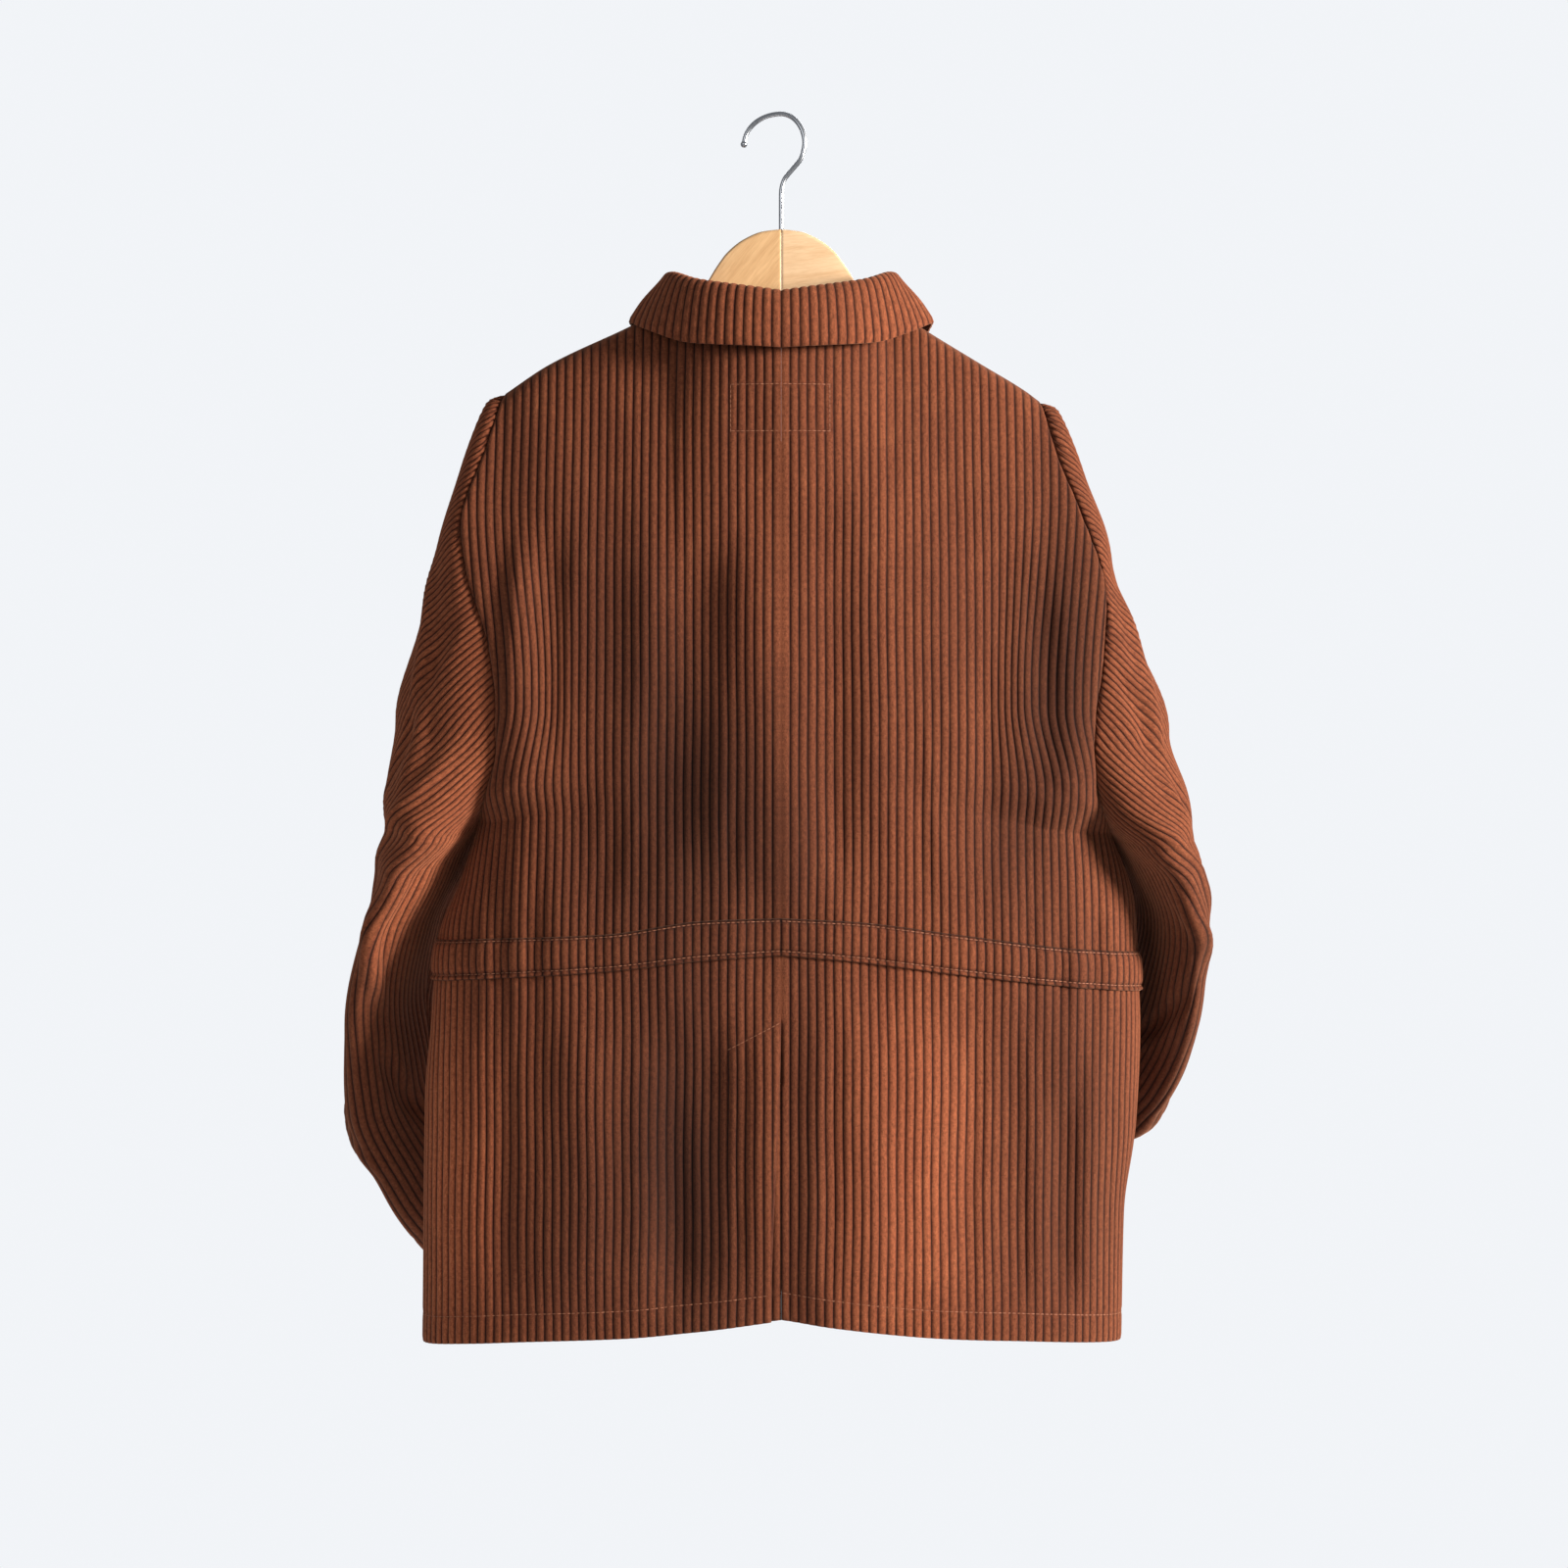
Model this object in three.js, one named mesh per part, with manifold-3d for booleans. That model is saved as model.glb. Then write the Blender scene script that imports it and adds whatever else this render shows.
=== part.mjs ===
// A corduroy jacket hanging on a wooden hanger, seen as it is held up by the hanger's hook.
// Millimetres, +Z up. The origin is the inside top of the hook. The jacket's back faces -Y,
// and its left half is on -X. Except in FOLDS, "x" in the tables is a distance from the centre
// plane, the same way for both sides.

import * as THREE from 'three';
import Module from 'manifold-3d';
import { mergeVertices } from 'three/addons/utils/BufferGeometryUtils.js';

// Cloth
const WALE = 6.35; // from one corduroy wale to the next
const WALL = 1.8; // cloth between the plain inside and the foot of the wales
const RIB = 1.0; // crest of a wale above its foot
const SEAM = 0.3; // gap left between two sewn pieces
const SEAM_PRESS = 14; // wales are pressed flat within this distance of a seam
const COLUMN = WALE / 2; // a crest or a foot in every column
const SNAP = 0.4; // a column this near an end, in columns, moves onto it
const INSIDE_STEP = 8; // columns of the outside to one of the plain inside

// Body
const NECK_HALF = 78; // centre plane to the neck end of the shoulder seam
const NECK_BACK = 50; // how far the neckline lies behind the shoulder seams
const NECK_FRONT = 62; // and in front of them
const NECK_BEVEL = 5; // inside edge of the neckline below the outside one
const CAP = 12; // radius of the cloth where it bends over the hanger
const FULL_DEPTH = { back: 82, front: 76 }; // shoulder plane to the widest of the body
const DEPTH_DROP = 300; // the body reaches that depth this far below the shoulder
const DEPTH_POWER = 1.6;
const CORNER = 2.6; // how square the body is in plan; 2 would be an ellipse
const CALM_POWER = 6; // how late folds die away towards the outer edge
const FRONT_OVERLAP = 22; // each front past the centre front
const LAYER_LIFT = { left: 1.2, right: -3.6 }; // outer front out, under front in, where they overlap
const LAYER_FADE = 60;
const LAYER_TOP = { share: 0.8, row: 0.02 }; // less of it at the neckline

// Vent in the centre back seam
const VENT_TOP = 2.17; // in rows, see ROWS
const VENT_LEAN = 7; // left edge drawn back at the hem
const VENT_DEPTH = 6; // right edge sunk under the left one
const VENT_WIDTH = 40; // over this width
const VENT_SINK = { above: 0.07, over: 0.3 }; // rows over which it sinks, from above the top
const UNDERLAP = 36;

// Waist casing
const CHANNEL_WALL = 1.4;
const CHANNEL_CLEAR = 0.35; // from the wale crests under it
const GATHER = 2.2; // height of the gathers beside it
const GATHER_PITCH = 26;
const GATHER_FADE = 34;
const GATHER_REACH = { from: 110, full: 40, end: 20 }; // distances in from the outer edge

const SIDES = { left: -1, right: 1 };
const FACES = { back: -1, front: 1 };

// Top edge of the body: neckline, then shoulder seam to its tip
const NECKLINE = {
  back: [
    { x: 0, z: -168 },
    { x: 30, z: -166 },
    { x: 55, z: -158 },
    { x: 70, z: -148 },
    { x: 78, z: -139 },
  ],
  front: [
    { x: 0, z: -235 },
    { x: 27, z: -227 },
    { x: 55, z: -192 },
    { x: 70, z: -163 },
    { x: 78, z: -139 },
  ],
};
const SHOULDER = {
  left: [
    { x: 78, z: -139 },
    { x: 115, z: -157 },
    { x: 172, z: -184 },
    { x: 205, z: -206 },
  ],
  right: [
    { x: 78, z: -139 },
    { x: 103, z: -156 },
    { x: 147, z: -183 },
    { x: 180, z: -203 },
    { x: 192, z: -212 },
  ],
};

// Outer edge of the body from the shoulder tip down: armhole, armpit, side seam, hem
const EDGE = {
  left: [
    { z: -206, x: 205 },
    { z: -248, x: 217 },
    { z: -306, x: 234 },
    { z: -343, x: 228 },
    { z: -390, x: 213 },
    { z: -439, x: 206 },
    { z: -466, x: 206 },
    { z: -522, x: 222 },
    { z: -565, x: 236 },
    { z: -606, x: 252 },
    { z: -675, x: 258 },
    { z: -724, x: 262 },
    { z: -904, x: 264 },
  ],
  right: [
    { z: -212, x: 192 },
    { z: -257, x: 204 },
    { z: -293, x: 218 },
    { z: -359, x: 236 },
    { z: -402, x: 233 },
    { z: -463, x: 226 },
    { z: -495, x: 228 },
    { z: -530, x: 242 },
    { z: -583, x: 260 },
    { z: -616, x: 262 },
    { z: -674, x: 264 },
    { z: -742, x: 261 },
    { z: -810, x: 252 },
    { z: -904, x: 250 },
  ],
};

// Lines across the body that rows follow
const CHANNEL_TOP = [
  { x: 0, left: -590, right: -590 },
  { x: 55, left: -592, right: -593 },
  { x: 125, left: -602, right: -602 },
  { x: 210, left: -606, right: -613 },
  { x: 264, left: -609, right: -617 },
];
const CHANNEL_FOOT = [
  { x: 0, left: -617, right: -617 },
  { x: 55, left: -621, right: -622 },
  { x: 125, left: -629, right: -631 },
  { x: 210, left: -635, right: -641 },
  { x: 264, left: -639, right: -646 },
];
const HEM = [
  { x: 0, z: -879 },
  { x: 60, z: -887 },
  { x: 110, z: -892 },
  { x: 180, z: -896 },
  { x: 230, z: -900 },
  { x: 264, z: -904 },
];

// Rows of the body: 0 top edge, 1 top of the waist channel, 2 its foot, 3 hem.
// gape is half the armhole's width, front to back, where a row meets it.
const ARMPIT = 0.79;
const ARMHOLE = [
  { row: 0, gape: 0 },
  { row: 0.025, gape: 10 },
  { row: 0.14, gape: 26 },
  { row: 0.3, gape: 42 },
  { row: 0.46, gape: 54 },
  { row: 0.625, gape: 58 },
  { row: 0.73, gape: 45 },
  { row: ARMPIT, gape: 0 },
];
const VENT_ROW = 2.35; // first row below the top of the vent
const ARMHOLE_ROWS = ARMHOLE.map((entry) => entry.row);
const ROWS = { back: [...ARMHOLE_ROWS, 1, 2, VENT_ROW, 3], front: [...ARMHOLE_ROWS, 1.2, 2.2, 3] };

// Large soft folds: a line from (x, z) to (x2, z2), half its width, and its height, below 0 a trough
const FOLDS = {
  back: [
    { x: -188, z: -300, x2: -198, z2: -470, spread: 15, height: 5 },
    { x: -164, z: -290, x2: -172, z2: -500, spread: 18, height: -4 },
    { x: -58, z: -300, x2: -84, z2: -570, spread: 36, height: -6 },
    { x: -230, z: -640, x2: -232, z2: -890, spread: 24, height: 4 },
    { x: -58, z: -650, x2: -66, z2: -890, spread: 34, height: -6 },
    { x: -142, z: -640, x2: -150, z2: -890, spread: 36, height: 4 },
    { x: 62, z: -250, x2: 78, z2: -560, spread: 40, height: 4 },
    { x: 186, z: -330, x2: 196, z2: -520, spread: 20, height: -5 },
    { x: 88, z: -640, x2: 84, z2: -890, spread: 40, height: 5 },
    { x: 204, z: -700, x2: 204, z2: -890, spread: 16, height: -6 },
    { x: 229, z: -660, x2: 224, z2: -890, spread: 14, height: 4 },
  ],
  front: [
    { x: -176, z: -290, x2: -184, z2: -500, spread: 20, height: -5 },
    { x: -96, z: -330, x2: -110, z2: -860, spread: 36, height: 5 },
    { x: -170, z: -600, x2: -160, z2: -900, spread: 30, height: -6 },
    { x: 180, z: -300, x2: 186, z2: -520, spread: 20, height: -5 },
    { x: 100, z: -360, x2: 92, z2: -880, spread: 36, height: 4 },
    { x: 168, z: -620, x2: 176, z2: -900, spread: 28, height: -6 },
  ],
};
const FOLD_FADE = 60; // a fold fades in over this height at each end
const FOLD_TOP = 0.2; // and over these rows below the body's top edge

// Sleeves, from the shoulder tip to the cuff. As far as the armpit a section ends on the
// armhole at that row of the body; past it, it is a closed ring. x, y, z is its centre; out
// and back are its half sizes towards the outside and the back; tilt lifts the outside, lean
// tips the back down and roll turns the back outwards; end is the angle from the outside
// line to the section's end.
const SLEEVE_ARMPIT = 0.46;
const SEAM_PULL = 6; // how sharply a section turns towards the armhole at its ends
const SLEEVE_SETTLE = 0.08; // past the armpit the ring leaves the armhole over this length
const SLEEVE = {
  left: [
    { s: 0, row: 0, x: 205, y: 0, z: -206, out: 0, back: 0, tilt: 15, lean: 0, roll: 0, end: 90 },
    { s: 0.03, row: 0.025, x: 207, y: 0, z: -216, out: 11, back: 11, tilt: 15, lean: 0, roll: 0, end: 90 },
    { s: 0.09, row: 0.14, x: 221, y: 0, z: -262, out: 16, back: 27, tilt: 13, lean: 0, roll: 0, end: 90 },
    { s: 0.18, row: 0.3, x: 232, y: 0, z: -326, out: 22, back: 43, tilt: 12, lean: 0, roll: 0, end: 90 },
    { s: 0.27, row: 0.46, x: 213, y: 0, z: -390, out: 55, back: 56, tilt: 8, lean: 0, roll: 0, end: 90 },
    { s: 0.36, row: 0.625, x: 207, y: 3, z: -456, out: 78, back: 64, tilt: 7, lean: 3, roll: 0, end: 94 },
    { s: 0.42, row: 0.73, x: 244, y: 10, z: -494, out: 48, back: 76, tilt: 8, lean: 8, roll: 0, end: 125 },
    { s: 0.46, row: ARMPIT, x: 263, y: 18, z: -514, out: 31, back: 90, tilt: 10, lean: 12, roll: 0, end: 180 },
    { s: 0.51, row: ARMPIT, x: 263, y: 29, z: -546, out: 26, back: 91, tilt: 11, lean: 13, roll: 12, end: 180 },
    { s: 0.57, row: ARMPIT, x: 274, y: 44, z: -586, out: 21, back: 92, tilt: 12, lean: 15, roll: 15, end: 180 },
    { s: 0.68, row: ARMPIT, x: 289, y: 62, z: -655, out: 22, back: 84, tilt: 8, lean: 18, roll: 19, end: 180 },
    { s: 0.78, row: ARMPIT, x: 287, y: 78, z: -708, out: 24, back: 76, tilt: -8, lean: 24, roll: 24, end: 180 },
    { s: 0.89, row: ARMPIT, x: 263, y: 106, z: -762, out: 23, back: 68, tilt: -30, lean: 24, roll: 37, end: 180 },
    { s: 1, row: ARMPIT, x: 228, y: 126, z: -812, out: 22, back: 62, tilt: -36, lean: 20, roll: 60, end: 180 },
  ],
  right: [
    { s: 0, row: 0, x: 192, y: 0, z: -212, out: 0, back: 0, tilt: 15, lean: 0, roll: 0, end: 90 },
    { s: 0.03, row: 0.025, x: 194, y: 0, z: -222, out: 11, back: 11, tilt: 18, lean: 0, roll: 0, end: 90 },
    { s: 0.09, row: 0.14, x: 208, y: 0, z: -268, out: 16, back: 27, tilt: 13, lean: 0, roll: 0, end: 90 },
    { s: 0.18, row: 0.3, x: 229, y: 0, z: -333, out: 15, back: 43, tilt: 18, lean: 0, roll: 0, end: 90 },
    { s: 0.27, row: 0.46, x: 233, y: 0, z: -398, out: 31, back: 56, tilt: 12, lean: 0, roll: 0, end: 90 },
    { s: 0.36, row: 0.625, x: 226, y: 3, z: -464, out: 61, back: 64, tilt: 8, lean: 3, roll: 0, end: 94 },
    { s: 0.42, row: 0.73, x: 254, y: 10, z: -503, out: 46, back: 76, tilt: 8, lean: 8, roll: 0, end: 125 },
    { s: 0.46, row: ARMPIT, x: 278, y: 18, z: -522, out: 26, back: 90, tilt: 10, lean: 12, roll: 0, end: 180 },
    { s: 0.5, row: ARMPIT, x: 281, y: 27, z: -546, out: 24, back: 91, tilt: 9, lean: 13, roll: 8, end: 180 },
    { s: 0.56, row: ARMPIT, x: 286, y: 42, z: -580, out: 21, back: 92, tilt: 6, lean: 15, roll: 11, end: 180 },
    { s: 0.66, row: ARMPIT, x: 282, y: 64, z: -636, out: 21, back: 84, tilt: -10, lean: 22, roll: 14, end: 180 },
    { s: 0.77, row: ARMPIT, x: 260, y: 94, z: -684, out: 22, back: 76, tilt: -28, lean: 25, roll: 25, end: 180 },
    { s: 0.88, row: ARMPIT, x: 216, y: 118, z: -722, out: 22, back: 68, tilt: -40, lean: 20, roll: 48, end: 180 },
    { s: 1, row: ARMPIT, x: 176, y: 134, z: -758, out: 22, back: 62, tilt: -42, lean: 16, roll: 62, end: 180 },
  ],
};

// Collar, by the angle round the neck from the centre back: height of the fold, how far the
// fall's edge stands out from the neck seam, and its height
const COLLAR = [
  { angle: 0, fold: -138, out: 15, edge: -179 },
  { angle: 45, fold: -128, out: 19, edge: -174 },
  { angle: 75, fold: -119, out: 28, edge: -155 },
  { angle: 90, fold: -118, out: 34, edge: -146 },
  { angle: 115, fold: -126, out: 34, edge: -163 },
  { angle: 145, fold: -165, out: 28, edge: -216 },
  { angle: 172, fold: -204, out: 22, edge: -264 },
];
const COLLAR_END = 172; // angle of each front end
const COLLAR_WALES = 64;
const COLLAR_WALL = 2.2;
const COLLAR_ROLL = 6; // half the thickness of the folded edge
const COLLAR_SEAT = 0.8; // stand above the body's top edge
const COLLAR_INSET = 0.9; // middle of the stand inside the neck seam
const COLLAR_BELLY = 1; // the fall rounds out this far

// Buttons
const BUTTON_RADIUS = 10;
const BUTTON_THICK = 3.4;
const BUTTON_HEIGHTS = [-285, -410, -535, -660, -785];

// Hanger
const WOOD_HALF = 6.5; // half the thickness of the wood
const HANGER = [
  { x: 0, top: -84, foot: -139 },
  { x: 14, top: -85.8, foot: -139.5 },
  { x: 28, top: -91.7, foot: -141 },
  { x: 40, top: -101.3, foot: -144 },
  { x: 48, top: -112.1, foot: -147 },
  { x: 56, top: -125, foot: -152 },
  { x: 68, top: -138, foot: -161 },
];
const ARM_ROOT = 84; // from here on the arm follows the shoulder
const ARM_CLEAR = { root: 7, tip: 5.2 }; // top of the arm under the shoulder seam's top
const ARM_END = { left: 200, right: 187 };
const ARM_TALL = { root: 25, tip: 15 };
const ARM_STATIONS = 7;

// Hook
const WIRE = 3.6;
const HOOK_TALL = 22.5; // middle of the wire from its top down to the hook's tip
const HOOK_REACH = { left: 27.5, right: 17.5 }; // and out from the stem
const HOOK_BENDS = 12; // points round the top
const HOOK_RETURN = [
  { share: 0.86, drop: 10 },
  { share: 0.45, drop: 19 },
  { share: 0.1, drop: 27 },
  { share: 0, drop: 36 },
]; // from the right side back to the stem: share of the reach, and height below the tip
const HOOK_FOOT = -104; // end of the stem in the wood
const HOOK_BALL = 2.6;
const HOOK_STEPS = 26;

const wasm = await Module();
wasm.setup();

// Value of a column at a place in a table, by a smooth curve that never overshoots its rows.
function curve(table, key, column, at) {
  const last = table.length - 1;
  const way = Math.sign(table[last][key] - table[0][key]);
  if ((at - table[0][key]) * way <= 0) return table[0][column];
  if ((at - table[last][key]) * way >= 0) return table[last][column];
  let i = 0;
  while ((at - table[i + 1][key]) * way > 0) i += 1;
  const chord = (k) => {
    const [from, to] = [table[k], table[k + 1]];
    return (to[column] - from[column]) / (to[key] - from[key]);
  };
  const slope = (k) => {
    if (k === 0) return chord(0);
    if (k === last) return chord(last - 1);
    const before = chord(k - 1);
    const after = chord(k);
    return before * after <= 0 ? 0 : (2 * before * after) / (before + after);
  };
  const span = table[i + 1][key] - table[i][key];
  const t = (at - table[i][key]) / span;
  const leave = (t ** 3 - 2 * t ** 2 + t) * span * slope(i);
  const arrive = (t ** 3 - t ** 2) * span * slope(i + 1);
  const ease = smooth(t);
  return table[i][column] * (1 - ease) + table[i + 1][column] * ease + leave + arrive;
}

function smooth(t) {
  const c = Math.min(Math.max(t, 0), 1);
  return c * c * (3 - 2 * c);
}

// Height of the body's top edge, and of any row, at a distance x from the centre plane.
function topHeight(face, side, x) {
  if (x < NECK_HALF) return curve(NECKLINE[face], 'x', 'z', x);
  return curve(SHOULDER[side], 'x', 'z', x);
}

function rowHeight(face, side, x, row) {
  const channelTop = curve(CHANNEL_TOP, 'x', side, x);
  const channelFoot = curve(CHANNEL_FOOT, 'x', side, x);
  if (row <= 1) {
    const top = topHeight(face, side, x);
    return top + (channelTop - top) * row;
  }
  if (row <= 2) return channelTop + (channelFoot - channelTop) * (row - 1);
  return channelFoot + (curve(HEM, 'x', 'z', x) - channelFoot) * (row - 2);
}

// Depth of the cloth from the shoulder plane, at x and a drop below the top edge.
function clothDepth(face, x, drop) {
  const neck = face === 'back' ? NECK_BACK : NECK_FRONT;
  const opening = neck * Math.sqrt(Math.max(1 - (x / NECK_HALF) ** 2, 0));
  const near = Math.min(Math.max(drop, 0) / CAP, 1);
  const bend = CAP * Math.sqrt(1 - (1 - near) ** 2);
  const base = Math.hypot(bend, opening);
  const fall = 1 - (1 - Math.min(Math.max(drop, 0) / DEPTH_DROP, 1)) ** DEPTH_POWER;
  return base + (FULL_DEPTH[face] - base) * fall;
}

// One row in plan: a rounded corner from the centre to the outer edge, with the length of
// cloth measured along it.
const PLAN_STEPS = 28;
const EDGE_PASSES = 10; // to find where a row meets the outer edge
const plans = new Map();
function plan(face, side, row) {
  const name = `${face} ${side} ${row}`;
  if (plans.has(name)) return plans.get(name);
  let edge = EDGE[side][0].x;
  for (let pass = 0; pass < EDGE_PASSES; pass += 1) {
    edge = curve(EDGE[side], 'z', 'x', rowHeight(face, side, edge, row));
  }
  const gape = SEAM / 2 + curve(ARMHOLE, 'row', 'gape', row);
  const drop = topHeight(face, side, edge) - rowHeight(face, side, edge, row);
  const reach = Math.max(clothDepth(face, edge, drop) - gape, 0);
  const lengths = [0];
  const place = (i) => {
    const turn = (i / PLAN_STEPS) * (Math.PI / 2);
    return [edge * Math.sin(turn) ** (2 / CORNER), reach * Math.cos(turn) ** (2 / CORNER)];
  };
  for (let i = 1; i <= PLAN_STEPS; i += 1) {
    const [x0, y0] = place(i - 1);
    const [x1, y1] = place(i);
    lengths.push(lengths[i - 1] + Math.hypot(x1 - x0, y1 - y0));
  }
  const found = { edge, gape, lengths, cloth: lengths[PLAN_STEPS] };
  plans.set(name, found);
  return found;
}

// Height of all the folds together at a point of a face.
function foldHeight(face, x, z) {
  let height = 0;
  for (const fold of FOLDS[face]) {
    const along = (z - fold.z) / (fold.z2 - fold.z);
    const middle = fold.x + (fold.x2 - fold.x) * along;
    const across = 1 - ((x - middle) / fold.spread) ** 2;
    if (across <= 0 || along <= 0 || along >= 1) continue;
    const ends = Math.min(fold.z - z, z - fold.z2) / FOLD_FADE;
    height += fold.height * across * across * smooth(ends);
  }
  return height;
}

// Gathers that the waist channel draws into the back near its ends.
function gatherHeight(side, x, edge, z) {
  const above = z - curve(CHANNEL_TOP, 'x', side, x);
  const below = curve(CHANNEL_FOOT, 'x', side, x) - z;
  const fade = Math.exp(-Math.max(above, below, 0) / GATHER_FADE);
  const { from, full, end } = GATHER_REACH;
  const nearEnd = smooth((x - edge + from) / (from - full)) * smooth((edge - x) / end);
  return GATHER * nearEnd * fade * Math.sin((x / GATHER_PITCH) * 2 * Math.PI);
}

// A point of a body panel's outside, at the foot of the wales: u is the length of cloth from
// the centre, below 0 past it.
function bodyPoint(panel, u, row) {
  const { face, side } = panel;
  const { edge, gape, lengths, cloth } = plan(face, side, row);
  let x = u;
  let round = 1;
  if (u > 0) {
    const along = Math.min(u, cloth);
    let i = 1;
    while (i < PLAN_STEPS && lengths[i] < along) i += 1;
    const part = (along - lengths[i - 1]) / (lengths[i] - lengths[i - 1]);
    const between = (share) => {
      const [from, to] = [i - 1, i].map((step) => share((step / PLAN_STEPS) * (Math.PI / 2)) ** (2 / CORNER));
      return from + (to - from) * part;
    };
    x = edge * between(Math.sin);
    round = between((turn) => Math.max(Math.cos(turn), 0));
  }
  const off = Math.abs(x);
  const z = rowHeight(face, side, off, row);
  const depth = Math.max(clothDepth(face, off, topHeight(face, side, off) - z), SEAM / 2);
  const calm = 1 - (off / edge) ** CALM_POWER;
  let y = gape + (Math.max(depth, gape) - gape) * round;
  y += foldHeight(face, SIDES[side] * x, z) * calm * smooth(row / FOLD_TOP);
  if (face === 'back') {
    y += gatherHeight(side, off, edge, z) * calm;
    const below = smooth((row - VENT_TOP + VENT_SINK.above) / VENT_SINK.over);
    const open = below * (1 - smooth(x / VENT_WIDTH));
    y += (side === 'right' ? -VENT_DEPTH : 0) * open;
  } else {
    const lap = 1 - smooth((off - FRONT_OVERLAP) / LAYER_FADE);
    const share = LAYER_TOP.share + (1 - LAYER_TOP.share) * smooth(row / LAYER_TOP.row);
    y += LAYER_LIFT[side] * lap * share;
  }
  return new THREE.Vector3(SIDES[side] * x, FACES[face] * y, z);
}

// Outward direction of the same cloth.
function bodyNormal(panel, u, row) {
  const { face, side } = panel;
  const { cloth } = plan(face, side, row);
  const du = 2;
  const dr = 0.01;
  const at = Math.min(u, cloth - du);
  const across = bodyPoint(panel, at + du, row).sub(bodyPoint(panel, at - du, row));
  const lower = bodyPoint(panel, at, Math.min(row + dr, 3));
  const down = lower.sub(bodyPoint(panel, at, Math.max(row - dr, 0)));
  const normal = across.cross(down).multiplyScalar(SIDES[side] * FACES[face]);
  if (row === 0 && u < NECK_HALF) normal.z = 0;
  if (row === 0 && u >= NECK_HALF) normal.set(0, 0, 1);
  if (row === 3) normal.z = 0;
  if (u >= cloth) normal.set(SIDES[side], 0, row === 0 ? 1 : 0);
  if (u === 0 && face === 'back') normal.x = 0;
  return normal.normalize();
}

// Places of the columns on a row of cloth from u0 to u1: on the wales, but for a column that
// comes too near an end, which moves onto it.
function columns(count, first, step, u0, u1) {
  const snap = step * SNAP;
  return Array.from({ length: count }, (_, i) => {
    const u = (first + i) * step;
    if (u > u1 - snap) return u1;
    return u < u0 + snap ? u0 : u;
  });
}

// A wale's height in a column: every second column is a crest, pressed flat towards a seam.
function waleHeight(u, u0, u1) {
  const crest = Math.round(u / COLUMN) % 2 !== 0;
  return crest ? RIB * smooth(Math.min(u - u0, u1 - u) / SEAM_PRESS) : 0;
}

// Closed wall between an outer and an inner grid of points, rows of equal length in each.
// joined tells from which row on the two ends of a row meet, as in a tube.
function wallGeometry(outer, inner, joined = Infinity) {
  const places = [];
  const seen = new Map();
  const index = (p) => {
    const name = `${p.x.toFixed(3)} ${p.y.toFixed(3)} ${p.z.toFixed(3)}`;
    if (!seen.has(name)) {
      seen.set(name, places.length / 3);
      places.push(p.x, p.y, p.z);
    }
    return seen.get(name);
  };
  const faces = [];
  const face = (a, b, c) => {
    const [i, j, k] = [index(a), index(b), index(c)];
    if (i !== j && j !== k && k !== i) faces.push(i, j, k);
  };
  const skin = (grid, flip) => {
    for (let r = 0; r + 1 < grid.length; r += 1) {
      for (let c = 0; c + 1 < grid[r].length; c += 1) {
        const [a, b] = [grid[r][c], grid[r][c + 1]];
        const [d, e] = [grid[r + 1][c], grid[r + 1][c + 1]];
        if (flip) {
          face(a, b, e);
          face(a, e, d);
        } else {
          face(a, e, b);
          face(a, d, e);
        }
      }
    }
  };
  // A strip between two lines that run side by side with different numbers of points.
  const strip = (one, two, flip) => {
    const share = (line) => {
      const run = [0];
      for (let i = 1; i < line.length; i += 1) run.push(run[i - 1] + line[i].distanceTo(line[i - 1]));
      return run.map((value) => value / (run[run.length - 1] || 1));
    };
    const [s, t] = [share(one), share(two)];
    let [i, j] = [0, 0];
    while (i + 1 < one.length || j + 1 < two.length) {
      const stepOne = j + 1 >= two.length || (i + 1 < one.length && s[i + 1] <= t[j + 1]);
      const next = stepOne ? one[i + 1] : two[j + 1];
      if (flip) face(one[i], two[j], next);
      else face(one[i], next, two[j]);
      if (stepOne) i += 1;
      else j += 1;
    }
  };
  const ends = Math.min(joined + 1, outer.length);
  const edgeOf = (grid, at) => grid.slice(0, ends).map((line) => line.at(at));
  skin(outer, false);
  skin(inner, true);
  strip(outer[0], inner[0], false);
  strip(outer.at(-1), inner.at(-1), true);
  strip(edgeOf(outer, 0), edgeOf(inner, 0), true);
  strip(edgeOf(outer, -1), edgeOf(inner, -1), false);
  const geometry = new THREE.BufferGeometry();
  geometry.setAttribute('position', new THREE.Float32BufferAttribute(places, 3));
  geometry.setIndex(faces);
  return faceOut(geometry);
}

// Turns every face over when the solid's volume comes out negative.
function faceOut(geometry) {
  const { array } = geometry.getAttribute('position');
  const corners = geometry.index.array;
  const corner = (i) => new THREE.Vector3().fromArray(array, corners[i] * 3);
  let volume = 0;
  for (let i = 0; i < corners.length; i += 3) {
    volume += corner(i).dot(corner(i + 1).cross(corner(i + 2)));
  }
  if (volume < 0) {
    for (let i = 0; i < corners.length; i += 3) {
      [corners[i + 1], corners[i + 2]] = [corners[i + 2], corners[i + 1]];
    }
  }
  geometry.computeVertexNormals();
  return geometry;
}

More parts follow.
